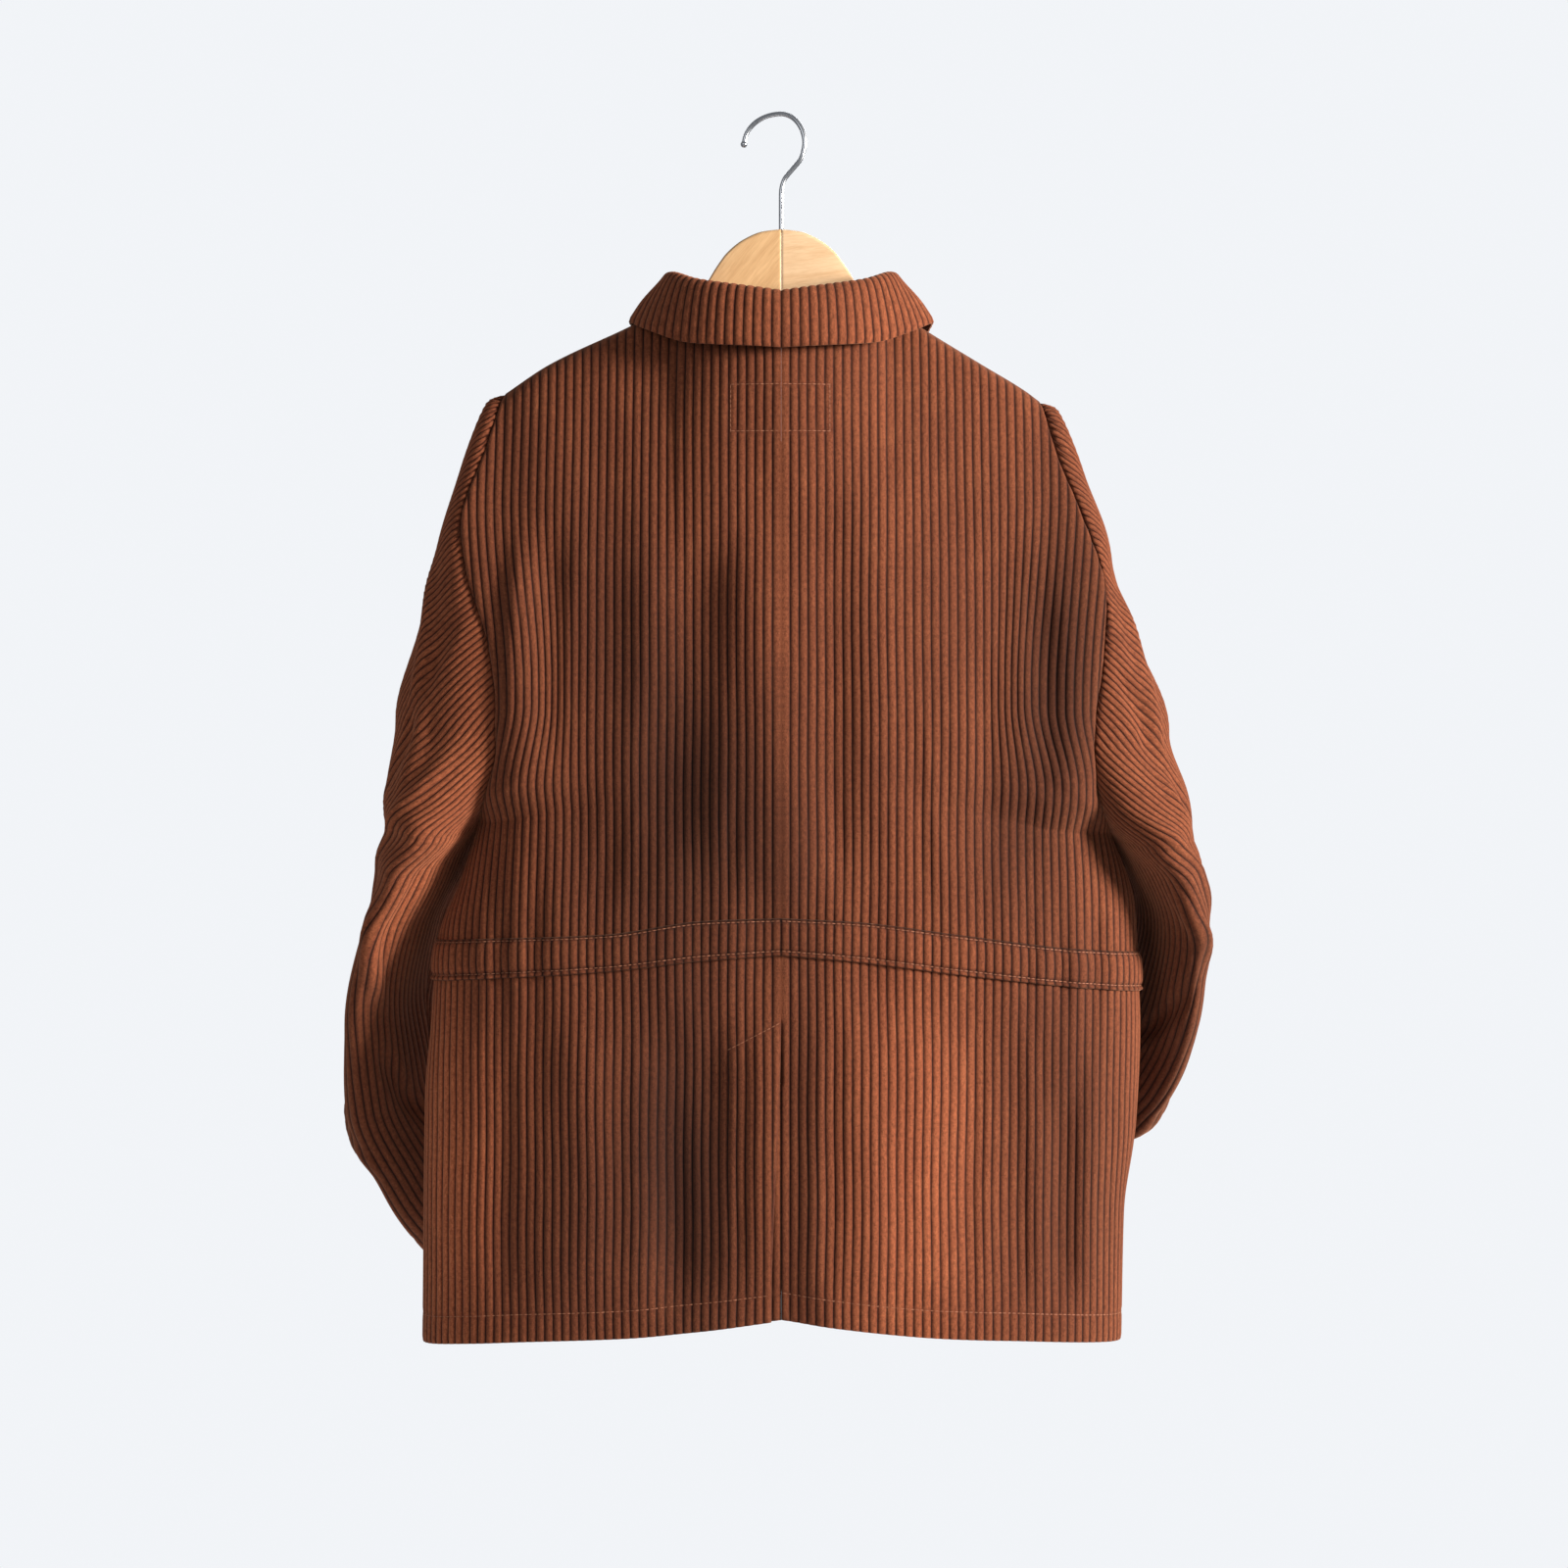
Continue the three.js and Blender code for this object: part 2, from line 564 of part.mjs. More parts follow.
// A body panel between rows, from a length of cloth before the centre to its outer edge.
function panelGeometry(panel, rows, start, stop = Infinity) {
  const { face, side } = panel;
  const first = Math.floor(start(3) / COLUMN) - 1;
  const longest = Math.max(...rows.map((row) => Math.min(plan(face, side, row).cloth, stop)));
  const count = Math.ceil(longest / COLUMN) - first + 2;
  const seamShift = panel.seam ? (SIDES[side] * SEAM) / 2 : 0;
  const line = (row, plain) => {
    const u0 = start(row);
    const u1 = Math.min(plan(face, side, row).cloth, stop);
    const every = plain ? INSIDE_STEP : 1;
    const places = columns(Math.ceil(count / every) + 1, first / every, COLUMN * every, u0, u1);
    return places.map((u) => {
      const atCut = row === 0;
      const height = plain ? -WALL : waleHeight(u, u0, u1) * (atCut ? 0 : 1);
      const point = bodyPoint(panel, u, row).addScaledVector(bodyNormal(panel, u, row), height);
      if (u === 0) point.x += seamShift;
      if (plain && atCut && u < NECK_HALF) point.z -= NECK_BEVEL;
      return point;
    });
  };
  return wallGeometry(rows.map((row) => line(row, false)), rows.map((row) => line(row, true)));
}

function backGeometry(side) {
  const drawn = side === 'left' ? VENT_LEAN : 0;
  const lean = (row) => drawn * smooth((row - VENT_TOP) / (3 - VENT_TOP));
  return panelGeometry({ face: 'back', side, seam: true }, ROWS.back, lean);
}

function frontGeometry(side) {
  return panelGeometry({ face: 'front', side }, ROWS.front, () => -FRONT_OVERLAP);
}

// The right back's own cloth past the centre, under the left back, below the top of the vent.
function underlapGeometry() {
  const rows = [VENT_ROW, 3];
  return panelGeometry({ face: 'back', side: 'right' }, rows, () => -UNDERLAP, -SEAM);
}

// Casing over both backs: the panels' own points, moved out past their crests.
function channelGeometry() {
  const foot = RIB + CHANNEL_CLEAR;
  const inset = 4;
  const columnsPerSide = Math.ceil(plan('back', 'left', 2).cloth / COLUMN);
  const line = (row, raised) => {
    const points = [];
    for (let i = -columnsPerSide; i <= columnsPerSide; i += 1) {
      const crest = i % 2 !== 0;
      if (!raised && !crest && i !== 0) continue;
      const panel = { face: 'back', side: i < 0 ? 'left' : 'right' };
      const limit = plan('back', panel.side, row).cloth - inset;
      const u = Math.abs(i) * COLUMN > limit - COLUMN / 2 ? limit : Math.abs(i) * COLUMN;
      const top = foot + CHANNEL_WALL + (crest && u < limit ? RIB : 0);
      points.push(bodyPoint(panel, u, row)
        .addScaledVector(bodyNormal(panel, u, row), raised ? top : foot));
    }
    return points;
  };
  return wallGeometry([line(1, true), line(2, true)], [line(1, false), line(2, false)]);
}

// One section of a sleeve, as a function from the angle to the point, with both ends drawn
// onto the armhole.
function sleeveSection(side, s) {
  const at = (column) => curve(SLEEVE[side], 's', column, s);
  const radians = (column) => THREE.MathUtils.degToRad(at(column));
  const way = SIDES[side];
  const centre = new THREE.Vector3(way * at('x'), at('y'), at('z'));
  const tilted = new THREE.Vector3(way * Math.cos(radians('tilt')), 0, Math.sin(radians('tilt')));
  const leant = new THREE.Vector3(0, -Math.cos(radians('lean')), -Math.sin(radians('lean')));
  const [c, d] = [Math.cos(radians('roll')), Math.sin(radians('roll'))];
  const out = tilted.clone().multiplyScalar(c).addScaledVector(leant, -d).multiplyScalar(at('out'));
  const back = leant.clone().multiplyScalar(c).addScaledVector(tilted, d).multiplyScalar(at('back'));
  const end = s > SLEEVE_ARMPIT ? Math.PI : radians('end');
  const oval = (angle) => centre.clone()
    .addScaledVector(out, Math.cos(angle)).addScaledVector(back, Math.sin(angle));
  const row = Math.min(at('row'), ARMPIT);
  const hold = 1 - smooth((s - SLEEVE_ARMPIT) / SLEEVE_SETTLE);
  const pull = (half) => {
    const { edge, gape } = plan(half > 0 ? 'back' : 'front', side, row);
    const z = rowHeight(half > 0 ? 'back' : 'front', side, edge, row);
    const seam = new THREE.Vector3(way * (edge + SEAM), -half * (gape - SEAM / 2), z);
    return seam.sub(oval(half * end)).multiplyScalar(hold);
  };
  const pulls = { 1: pull(1), '-1': pull(-1) };
  const point = (angle) => {
    const half = angle < 0 ? -1 : 1;
    return oval(angle).addScaledVector(pulls[half], (angle / end) ** SEAM_PULL);
  };
  return { point, centre, end };
}

// Angles at equal steps of cloth round a section, and the length of each half.
const SLEEVE_STEPS = 40;
const sleeveRuns = new Map();
function sleeveRun(side, s) {
  const name = `${side} ${s}`;
  if (sleeveRuns.has(name)) return sleeveRuns.get(name);
  const { point, end } = sleeveSection(side, s);
  const run = {};
  for (const half of [-1, 1]) {
    const lengths = [0];
    for (let i = 1; i <= SLEEVE_STEPS; i += 1) {
      const a = point((half * end * (i - 1)) / SLEEVE_STEPS);
      const b = point((half * end * i) / SLEEVE_STEPS);
      lengths.push(lengths[i - 1] + a.distanceTo(b));
    }
    run[half] = lengths;
  }
  sleeveRuns.set(name, run);
  return run;
}

// Point and outward direction of the sleeve's cloth, u round from the outside line to the back.
function sleevePlace(side, u, s) {
  const section = sleeveSection(side, s);
  const half = u < 0 ? -1 : 1;
  const lengths = sleeveRun(side, s)[half];
  const along = Math.min(Math.abs(u), lengths[SLEEVE_STEPS]);
  const step = 0.04; // angle and length between the points that give the direction
  const apart = 0.01;
  const shy = 0.99;
  const limit = section.end;
  let i = 1;
  while (i < SLEEVE_STEPS && lengths[i] < along) i += 1;
  const gap = lengths[i] - lengths[i - 1];
  const part = gap > 0 ? (along - lengths[i - 1]) / gap : 0;
  const closed = limit >= Math.PI && along >= lengths[SLEEVE_STEPS];
  const angle = closed ? limit : (half * limit * (i - 1 + Math.min(part, 1))) / SLEEVE_STEPS;
  const point = section.point(angle);
  if (s === 0) return { point, normal: new THREE.Vector3(SIDES[side], 0, 1).normalize() };
  const across = closed
    ? section.point(-limit + step).sub(section.point(limit - step))
    : section.point(Math.min(angle + step, limit)).sub(section.point(Math.max(angle - step, -limit)));
  const share = Math.min(Math.max(angle / limit, -shy), shy);
  const before = sleeveSection(side, Math.max(s - apart, apart));
  const after = sleeveSection(side, Math.min(s + apart, 1));
  const down = after.point(share * after.end).sub(before.point(share * before.end));
  const normal = across.cross(down).normalize();
  if (normal.dot(point.clone().sub(section.centre)) < 0) normal.negate();
  return { point, normal };
}

function sleeveGeometry(side) {
  const sections = SLEEVE[side].map((entry) => entry.s);
  const halves = sections.flatMap((s) => [sleeveRun(side, s)[-1], sleeveRun(side, s)[1]]);
  const longest = Math.max(...halves.map((lengths) => lengths.at(-1)));
  const line = (s, plain) => {
    const step = COLUMN * (plain ? INSIDE_STEP : 1);
    const count = Math.ceil(longest / step) + 1;
    const run = sleeveRun(side, s);
    const [u0, u1] = [-run[-1].at(-1), run[1].at(-1)];
    return columns(2 * count + 1, -count, step, u0, u1).map((u) => {
      const { point, normal } = sleevePlace(side, u, s);
      return point.addScaledVector(normal, plain ? -WALL : waleHeight(u, u0, u1));
    });
  };
  const joined = sections.indexOf(SLEEVE_ARMPIT);
  return wallGeometry(sections.map((s) => line(s, false)), sections.map((s) => line(s, true)), joined);
}

// Neck seam at an angle round from the centre back, and the way out from the neck there.
function neckPlace(angle) {
  const turn = THREE.MathUtils.degToRad(angle);
  const face = Math.abs(angle) < 90 ? 'back' : 'front';
  const depth = face === 'back' ? NECK_BACK : NECK_FRONT;
  const side = angle < 0 ? 'left' : 'right';
  const [x, y] = [NECK_HALF * Math.sin(turn), -depth * Math.cos(turn)];
  const point = new THREE.Vector3(x, y, topHeight(face, side, Math.abs(x)) + COLLAR_SEAT);
  const out = new THREE.Vector3(x / NECK_HALF ** 2, y / depth ** 2, 0).normalize();
  return { point, out };
}

// The collar's profile at an angle: out from the neck seam and up, stand first, fall last.
function collarProfile(angle) {
  const at = (column) => curve(COLLAR, 'angle', column, Math.abs(angle));
  const { point, out } = neckPlace(angle);
  const fold = at('fold');
  const shoulder = fold - COLLAR_ROLL;
  const outside = 2 * COLLAR_ROLL - COLLAR_INSET;
  const profile = [
    [-COLLAR_INSET, point.z],
    [-COLLAR_INSET, shoulder],
    [COLLAR_ROLL - COLLAR_INSET, fold],
    [outside, shoulder],
    [(outside + at('out')) / 2 + COLLAR_BELLY, (shoulder + at('edge')) / 2 + COLLAR_BELLY],
    [at('out'), at('edge')],
  ];
  return profile.map(([away, z], i) => {
    const [a, b] = [profile[Math.max(i - 1, 0)], profile[Math.min(i + 1, profile.length - 1)]];
    const length = Math.hypot(b[0] - a[0], b[1] - a[1]);
    const place = point.clone().addScaledVector(out, away).setZ(z);
    const normal = out.clone().multiplyScalar(-(b[1] - a[1]) / length).setZ((b[0] - a[0]) / length);
    return { place, normal };
  });
}

function collarGeometry() {
  const count = 2 * COLLAR_WALES;
  const fine = 4 * count;
  const run = [0];
  const angles = Array.from({ length: fine + 1 }, (_, i) => COLLAR_END * ((2 * i) / fine - 1));
  for (let i = 1; i <= fine; i += 1) {
    const [a, b] = [collarProfile(angles[i - 1])[4].place, collarProfile(angles[i])[4].place];
    run.push(run[i - 1] + a.distanceTo(b));
  }
  const angleAt = (share) => {
    const along = share * run[fine];
    let i = 1;
    while (i < fine && run[i] < along) i += 1;
    return angles[i - 1] + ((angles[i] - angles[i - 1]) * (along - run[i - 1])) / (run[i] - run[i - 1]);
  };
  const grid = (plain) => {
    const step = plain ? INSIDE_STEP / 2 : 1;
    const stations = [];
    for (let i = 0; i <= count; i += step) stations.push(i);
    const profiles = stations.map((i) => collarProfile(angleAt(i / count)));
    return profiles[0].map((_, level) => profiles.map((profile, k) => {
      const crest = stations[k] % 2 !== 0 && level > 0;
      const height = plain ? -COLLAR_WALL / 2 : COLLAR_WALL / 2 + (crest ? RIB : 0);
      return profile[level].place.clone().addScaledVector(profile[level].normal, height);
    }));
  };
  return wallGeometry(grid(false), grid(true));
}

// Row of the front at a height on the centre line.
function frontRow(z) {
  const heights = [0, 1, 2, 3].map((row) => rowHeight('front', 'left', 0, row));
  const [top, channelTop, channelFoot, hem] = heights;
  if (z > channelTop) return (top - z) / (top - channelTop);
  return z > channelFoot ? 1 + (channelTop - z) / (channelTop - channelFoot)
    : 2 + (channelFoot - z) / (channelFoot - hem);
}

function buttonMesh(z, number) {
  const [rim, bevel, dish, sides] = [1.4, 1, 0.8, 10];
  const profile = [
    [0, 0],
    [BUTTON_RADIUS, 0],
    [BUTTON_RADIUS, BUTTON_THICK - bevel],
    [BUTTON_RADIUS - rim, BUTTON_THICK],
    [BUTTON_RADIUS - 2 * rim, BUTTON_THICK - dish],
    [0, BUTTON_THICK - dish],
  ].map(([radius, height]) => new THREE.Vector2(radius, height));
  const mesh = new THREE.Mesh(new THREE.LatheGeometry(profile, sides), buttonMaterial.clone());
  const panel = { face: 'front', side: 'left' };
  const row = frontRow(z);
  const normal = bodyNormal(panel, 0, row);
  const clearance = 0.6;
  mesh.position.copy(bodyPoint(panel, 0, row)).addScaledVector(normal, RIB + clearance);
  mesh.quaternion.setFromUnitVectors(new THREE.Vector3(0, 1, 0), normal);
  mesh.name = `button_${number}`;
  return mesh;
}

// Solids for joining and cutting
function toSolid(geometry) {
  const bare = geometry.clone();
  bare.deleteAttribute('normal');
  bare.deleteAttribute('uv');
  const merged = mergeVertices(bare, 1e-4);
  return new wasm.Manifold(new wasm.Mesh({
    numProp: 3,
    vertProperties: merged.getAttribute('position').array,
    triVerts: Uint32Array.from(merged.index.array),
  }));
}

function toGeometry(solid) {
  const mesh = solid.getMesh();
  const geometry = new THREE.BufferGeometry();
  geometry.setAttribute('position', new THREE.BufferAttribute(mesh.vertProperties, 3));
  geometry.setIndex([...mesh.triVerts]);
  geometry.computeVertexNormals();
  return geometry;
}

function hangerGeometry(side) {
  const stations = HANGER.map(({ x, top, foot }) => ({ x: Math.max(x, SEAM / 2), top, foot }));
  for (let i = 0; i < ARM_STATIONS; i += 1) {
    const share = i / (ARM_STATIONS - 1);
    const x = ARM_ROOT + (ARM_END[side] - ARM_ROOT) * share;
    const under = ARM_CLEAR.root + (ARM_CLEAR.tip - ARM_CLEAR.root) * share;
    const tall = ARM_TALL.root + (ARM_TALL.tip - ARM_TALL.root) * share;
    const top = topHeight('back', side, x) - under;
    stations.push({ x, top, foot: top - tall });
  }
  const [ridge, chamfer] = [3, 3.5];
  const rings = stations.map(({ x, top, foot }) => [
    [-ridge, top],
    [ridge, top],
    [WOOD_HALF, top - chamfer],
    [WOOD_HALF, foot + chamfer],
    [ridge, foot],
    [-ridge, foot],
    [-WOOD_HALF, foot + chamfer],
    [-WOOD_HALF, top - chamfer],
  ].map(([y, z]) => new THREE.Vector3(SIDES[side] * x, y, z)));
  const places = rings.flat().flatMap((p) => [p.x, p.y, p.z]);
  const faces = [];
  const around = rings[0].length;
  for (let r = 0; r + 1 < rings.length; r += 1) {
    for (let c = 0; c < around; c += 1) {
      const [a, b] = [r * around + c, r * around + ((c + 1) % around)];
      faces.push(a, b, b + around, a, b + around, a + around);
    }
  }
  for (let c = 1; c + 1 < around; c += 1) {
    faces.push(0, c + 1, c);
    const last = (rings.length - 1) * around;
    faces.push(last, last + c, last + c + 1);
  }
  const geometry = new THREE.BufferGeometry();
  geometry.setAttribute('position', new THREE.Float32BufferAttribute(places, 3));
  geometry.setIndex(faces);
  faceOut(geometry);
  const [clear, past, sides] = [0.4, 1, 12];
  const [holeTop, holeFoot] = [HANGER[0].top + past, HOOK_FOOT - past];
  const bore = WIRE / 2 + clear;
  const hole = new THREE.CylinderGeometry(bore, bore, holeTop - holeFoot, sides);
  hole.rotateX(Math.PI / 2).translate(0, 0, (holeTop + holeFoot) / 2);
  return toGeometry(toSolid(geometry).subtract(toSolid(hole)));
}

function hookGeometry() {
  const centreZ = WIRE / 2 - HOOK_TALL;
  const points = [];
  for (let i = 0; i <= HOOK_BENDS; i += 1) {
    const turn = Math.PI * (1 - i / HOOK_BENDS);
    const reach = i * 2 < HOOK_BENDS ? HOOK_REACH.left : HOOK_REACH.right;
    const x = reach * Math.cos(turn);
    points.push(new THREE.Vector3(x, 0, centreZ + HOOK_TALL * Math.sin(turn)));
  }
  for (const { share, drop } of HOOK_RETURN) {
    points.push(new THREE.Vector3(HOOK_REACH.right * share, 0, centreZ - drop));
  }
  const stemTop = points.at(-1).z;
  points.push(new THREE.Vector3(0, 0, (stemTop + HOOK_FOOT) / 2));
  points.push(new THREE.Vector3(0, 0, HOOK_FOOT));
  const sides = 8;
  const round = new THREE.Shape(Array.from({ length: sides }, (_, i) => new THREE.Vector2(
    Math.cos((2 * Math.PI * i) / sides), Math.sin((2 * Math.PI * i) / sides)).multiplyScalar(WIRE / 2)));
  const wire = new THREE.ExtrudeGeometry(round, {
    steps: HOOK_STEPS, extrudePath: new THREE.CatmullRomCurve3(points),
  });
  const ball = new THREE.SphereGeometry(HOOK_BALL, 8, 6);
  ball.translate(points[0].x, 0, points[0].z);
  return toGeometry(toSolid(wire).add(toSolid(ball)));
}

// Colours
const cloth = (color) => new THREE.MeshStandardMaterial({ color, roughness: 0.92, metalness: 0 });
const clothMaterial = cloth('#7a432e');
const buttonMaterial = new THREE.MeshStandardMaterial({ color: '#3b2418', roughness: 0.45, metalness: 0 });
const woodMaterial = new THREE.MeshStandardMaterial({ color: '#f0c18c', roughness: 0.5, metalness: 0 });
const steelMaterial = new THREE.MeshStandardMaterial({ color: '#c9c9c9', roughness: 0.28, metalness: 1 });

function mesh(name, geometry, material) {
  const piece = new THREE.Mesh(geometry, material.clone());
  piece.name = name;
  return piece;
}

const jacket = new THREE.Group();
for (const side of ['left', 'right']) {
  jacket.add(mesh(`back_${side}`, backGeometry(side), clothMaterial));
  jacket.add(mesh(`front_${side}`, frontGeometry(side), clothMaterial));
  jacket.add(mesh(`sleeve_${side}`, sleeveGeometry(side), clothMaterial));
  jacket.add(mesh(`hanger_${side}`, hangerGeometry(side), woodMaterial));
}
jacket.add(mesh('vent_underlap', underlapGeometry(), clothMaterial));
jacket.add(mesh('waist_channel', channelGeometry(), clothMaterial));
jacket.add(mesh('collar', collarGeometry(), clothMaterial));
BUTTON_HEIGHTS.forEach((z, i) => jacket.add(buttonMesh(z, i + 1)));
jacket.add(mesh('hook', hookGeometry(), steelMaterial));

export default jacket;
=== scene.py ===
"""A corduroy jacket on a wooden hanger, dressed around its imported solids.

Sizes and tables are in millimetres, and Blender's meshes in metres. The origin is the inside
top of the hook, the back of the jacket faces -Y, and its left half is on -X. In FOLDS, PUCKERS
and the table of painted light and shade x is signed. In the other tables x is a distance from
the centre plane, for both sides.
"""

import math

import bpy
import numpy as np
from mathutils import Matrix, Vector


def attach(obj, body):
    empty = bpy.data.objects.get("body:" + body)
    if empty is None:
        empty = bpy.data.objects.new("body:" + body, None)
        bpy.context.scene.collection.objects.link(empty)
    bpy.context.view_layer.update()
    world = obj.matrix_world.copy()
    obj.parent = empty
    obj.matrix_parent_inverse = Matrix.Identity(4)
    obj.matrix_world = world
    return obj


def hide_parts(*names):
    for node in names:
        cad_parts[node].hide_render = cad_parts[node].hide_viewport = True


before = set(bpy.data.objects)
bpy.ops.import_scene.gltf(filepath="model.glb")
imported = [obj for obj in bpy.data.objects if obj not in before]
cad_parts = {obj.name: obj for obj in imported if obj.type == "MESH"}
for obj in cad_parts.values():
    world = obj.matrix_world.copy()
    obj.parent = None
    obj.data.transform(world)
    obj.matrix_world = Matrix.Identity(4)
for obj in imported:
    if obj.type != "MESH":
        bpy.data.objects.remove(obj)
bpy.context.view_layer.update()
MM = 0.001

# Camera, from the photograph
CAMERA_PLACE = (0.002, -2.600, -0.494)
FRAME_WIDTH = 1.160  # of the picture, at the shoulder plane
SENSOR = 36.0


def add_camera():
    data = bpy.data.cameras.new("camera")
    data.sensor_width = SENSOR
    data.lens = SENSOR * -CAMERA_PLACE[1] / FRAME_WIDTH
    camera = bpy.data.objects.new("camera", data)
    camera.location = CAMERA_PLACE
    camera.rotation_euler = (math.pi / 2, 0, 0)
    bpy.context.scene.collection.objects.link(camera)
    bpy.context.scene.camera = camera


add_camera()


def table(columns, *rows):
    """A table as a dict of its columns."""
    return dict(zip(columns.split(), np.array(rows, float).T))


# Cloth
WALE = 6.35  # from one corduroy wale to the next
WALL = 1.8
RIB = 1.0  # crest of a wale above its foot
SEAM = 0.04  # pieces meet here as sewn
SLEEVE_TUCK = -0.5  # a sleeve's seam edge past the body's
PHASES = np.array([0, 0.1, 0.3, 0.5, 0.7, 0.9])  # columns of a wale, from groove to groove
PLAIN_STEP = 1.5 * WALE  # between columns on the plain inside
# How lit the cloth is painted where it is pressed and inside, from 0, the painted shade of a groove, to
# 1, the painted light of a crest
PRESSED_PAINTED_LIGHT = 0.4
INSIDE_PAINTED_LIGHT = 0.4
ROUND = 2.6  # how full a wale is between its grooves
SNAP = 0.25  # a column this near an end moves onto it
PRESS = 2.2  # wales are pressed flat within this distance of a seam
SEAM_TURN = {"deep": 0.6, "wide": 1.4}  # cloth turning in at a seam
CENTRE_SEAM = {"wide": 1.5, "high": 0.7, "ends": 0.02, "light": 0.9}  # ridge along this seam
STITCH_PRESS = {"share": 0.55, "wide": 1.7}  # wales pressed under a row of stitches
HEM_TURN = {"deep": 0.5, "wide": 1.5}  # cloth turning in at a hem or cuff
# How far a wale wanders sideways, how near a seam it stops, and its waves' widths and heights
WOBBLE = {"most": 0.45, "fade": 20, "seed": 31, "wide": (120, 380), "tall": (110, 300)}
# Wales drawn towards the armpits: from this far out, and between these heights
DRAG = {"most": 11, "from": 140, "fade": 60, "top": -280, "over": 150, "foot": -500, "under": 60}
# Faint unevenness of the cloth: its height, and its waves' widths and heights
RIPPLE = 0.55
BODY_RIPPLE = {"wide": (30, 90), "tall": (160, 520)}
SLEEVE_RIPPLE = {"seed": 17, "wide": (40, 110), "tall": (50, 200)}

# Body. Rows run 0 at the top edge, 1 and 2 at the casing's edges and 3 at the hem.
NECK_HALF = 78
NECK_DEPTH = {"back": 50, "front": 62}  # from the shoulder plane
NECK_BEVEL = 5  # the neck's inside edge lies this far under the outside one
CAP = 12  # the cloth rounds over the shoulder within this drop
FULL_DEPTH = {"back": 82, "front": 76}
DEPTH_DROP = 300  # the body has its full depth this far below the shoulder
DEPTH_POWER = 1.6
CORNER = 2.6  # how square the body is in plan, where 2 is an ellipse
CALM_POWER = 6  # folds die out towards the side edges
FRONT_OVERLAP = 22
LAYER_LIFT = {"left": 1.2, "right": -3.6}  # the left front lies over the right one
LAYER_FADE = 60
LAYER_TOP = {"share": 0.8, "row": 0.02}
VENT_TOP = 2.17
VENT_LEAN = 7  # the vent's left edge leans away by this at the hem
VENT_DEPTH = 6  # its right side sinks by this under the left one
VENT_WIDTH = 40
VENT_SINK = {"above": 0.07, "over": 0.3}
UNDERLAP = 36
VENT_ROW = 2.35  # the underlap's first row
RISE = 0.012  # rows below the top edge in which the wales reach their height
HEM_STITCH = 20  # height of the hem's stitches above the hem
GATHER = 2.2  # height of the gathers beside the ends of the casing
GATHER_PITCH = 26
GATHER_FADE = 34
GATHER_REACH = {"from": 110, "full": 40, "end": 20}
SIDES = {"left": -1, "right": 1}
FACES = {"back": -1, "front": 1}
ARMPIT = 0.79  # its row

NECKLINE = {
    "back": table("x z", (0, -168), (30, -166), (55, -158), (70, -148), (78, -139)),
    "front": table("x z", (0, -235), (27, -227), (55, -192), (70, -163), (78, -139)),
}
SHOULDER = {
    "left": table("x z", (78, -139), (115, -157), (172, -184), (205, -206)),
    "right": table("x z", (78, -139), (103, -156), (147, -183), (180, -203), (192, -212)),
}
EDGE = {
    "left": table(
        "z x", (-206, 205), (-248, 217), (-306, 234), (-343, 228), (-390, 213),
        (-439, 206), (-466, 206), (-522, 222), (-565, 236), (-606, 252),
        (-675, 258), (-724, 262), (-904, 264)),
    "right": table(
        "z x", (-212, 192), (-257, 204), (-293, 218), (-359, 236), (-402, 233),
        (-463, 226), (-495, 228), (-530, 242), (-583, 260), (-616, 262),
        (-674, 264), (-742, 261), (-810, 252), (-904, 250)),
}
CHANNEL_TOP = table(
    "x left right", (0, -590, -590), (55, -592, -593), (125, -602, -602),
    (210, -606, -613), (264, -609, -617))
CHANNEL_FOOT = table(
    "x left right", (0, -617, -617), (55, -621, -622), (125, -629, -631),
    (210, -635, -641), (264, -639, -646))
HEM = table("x z", (0, -879), (60, -887), (110, -892), (180, -896), (230, -900), (264, -904))
ARMHOLE = table(
    "row gape", (0, 0), (0.025, 10), (0.14, 26), (0.3, 42), (0.46, 54),
    (0.625, 58), (0.73, 45), (ARMPIT, 0))

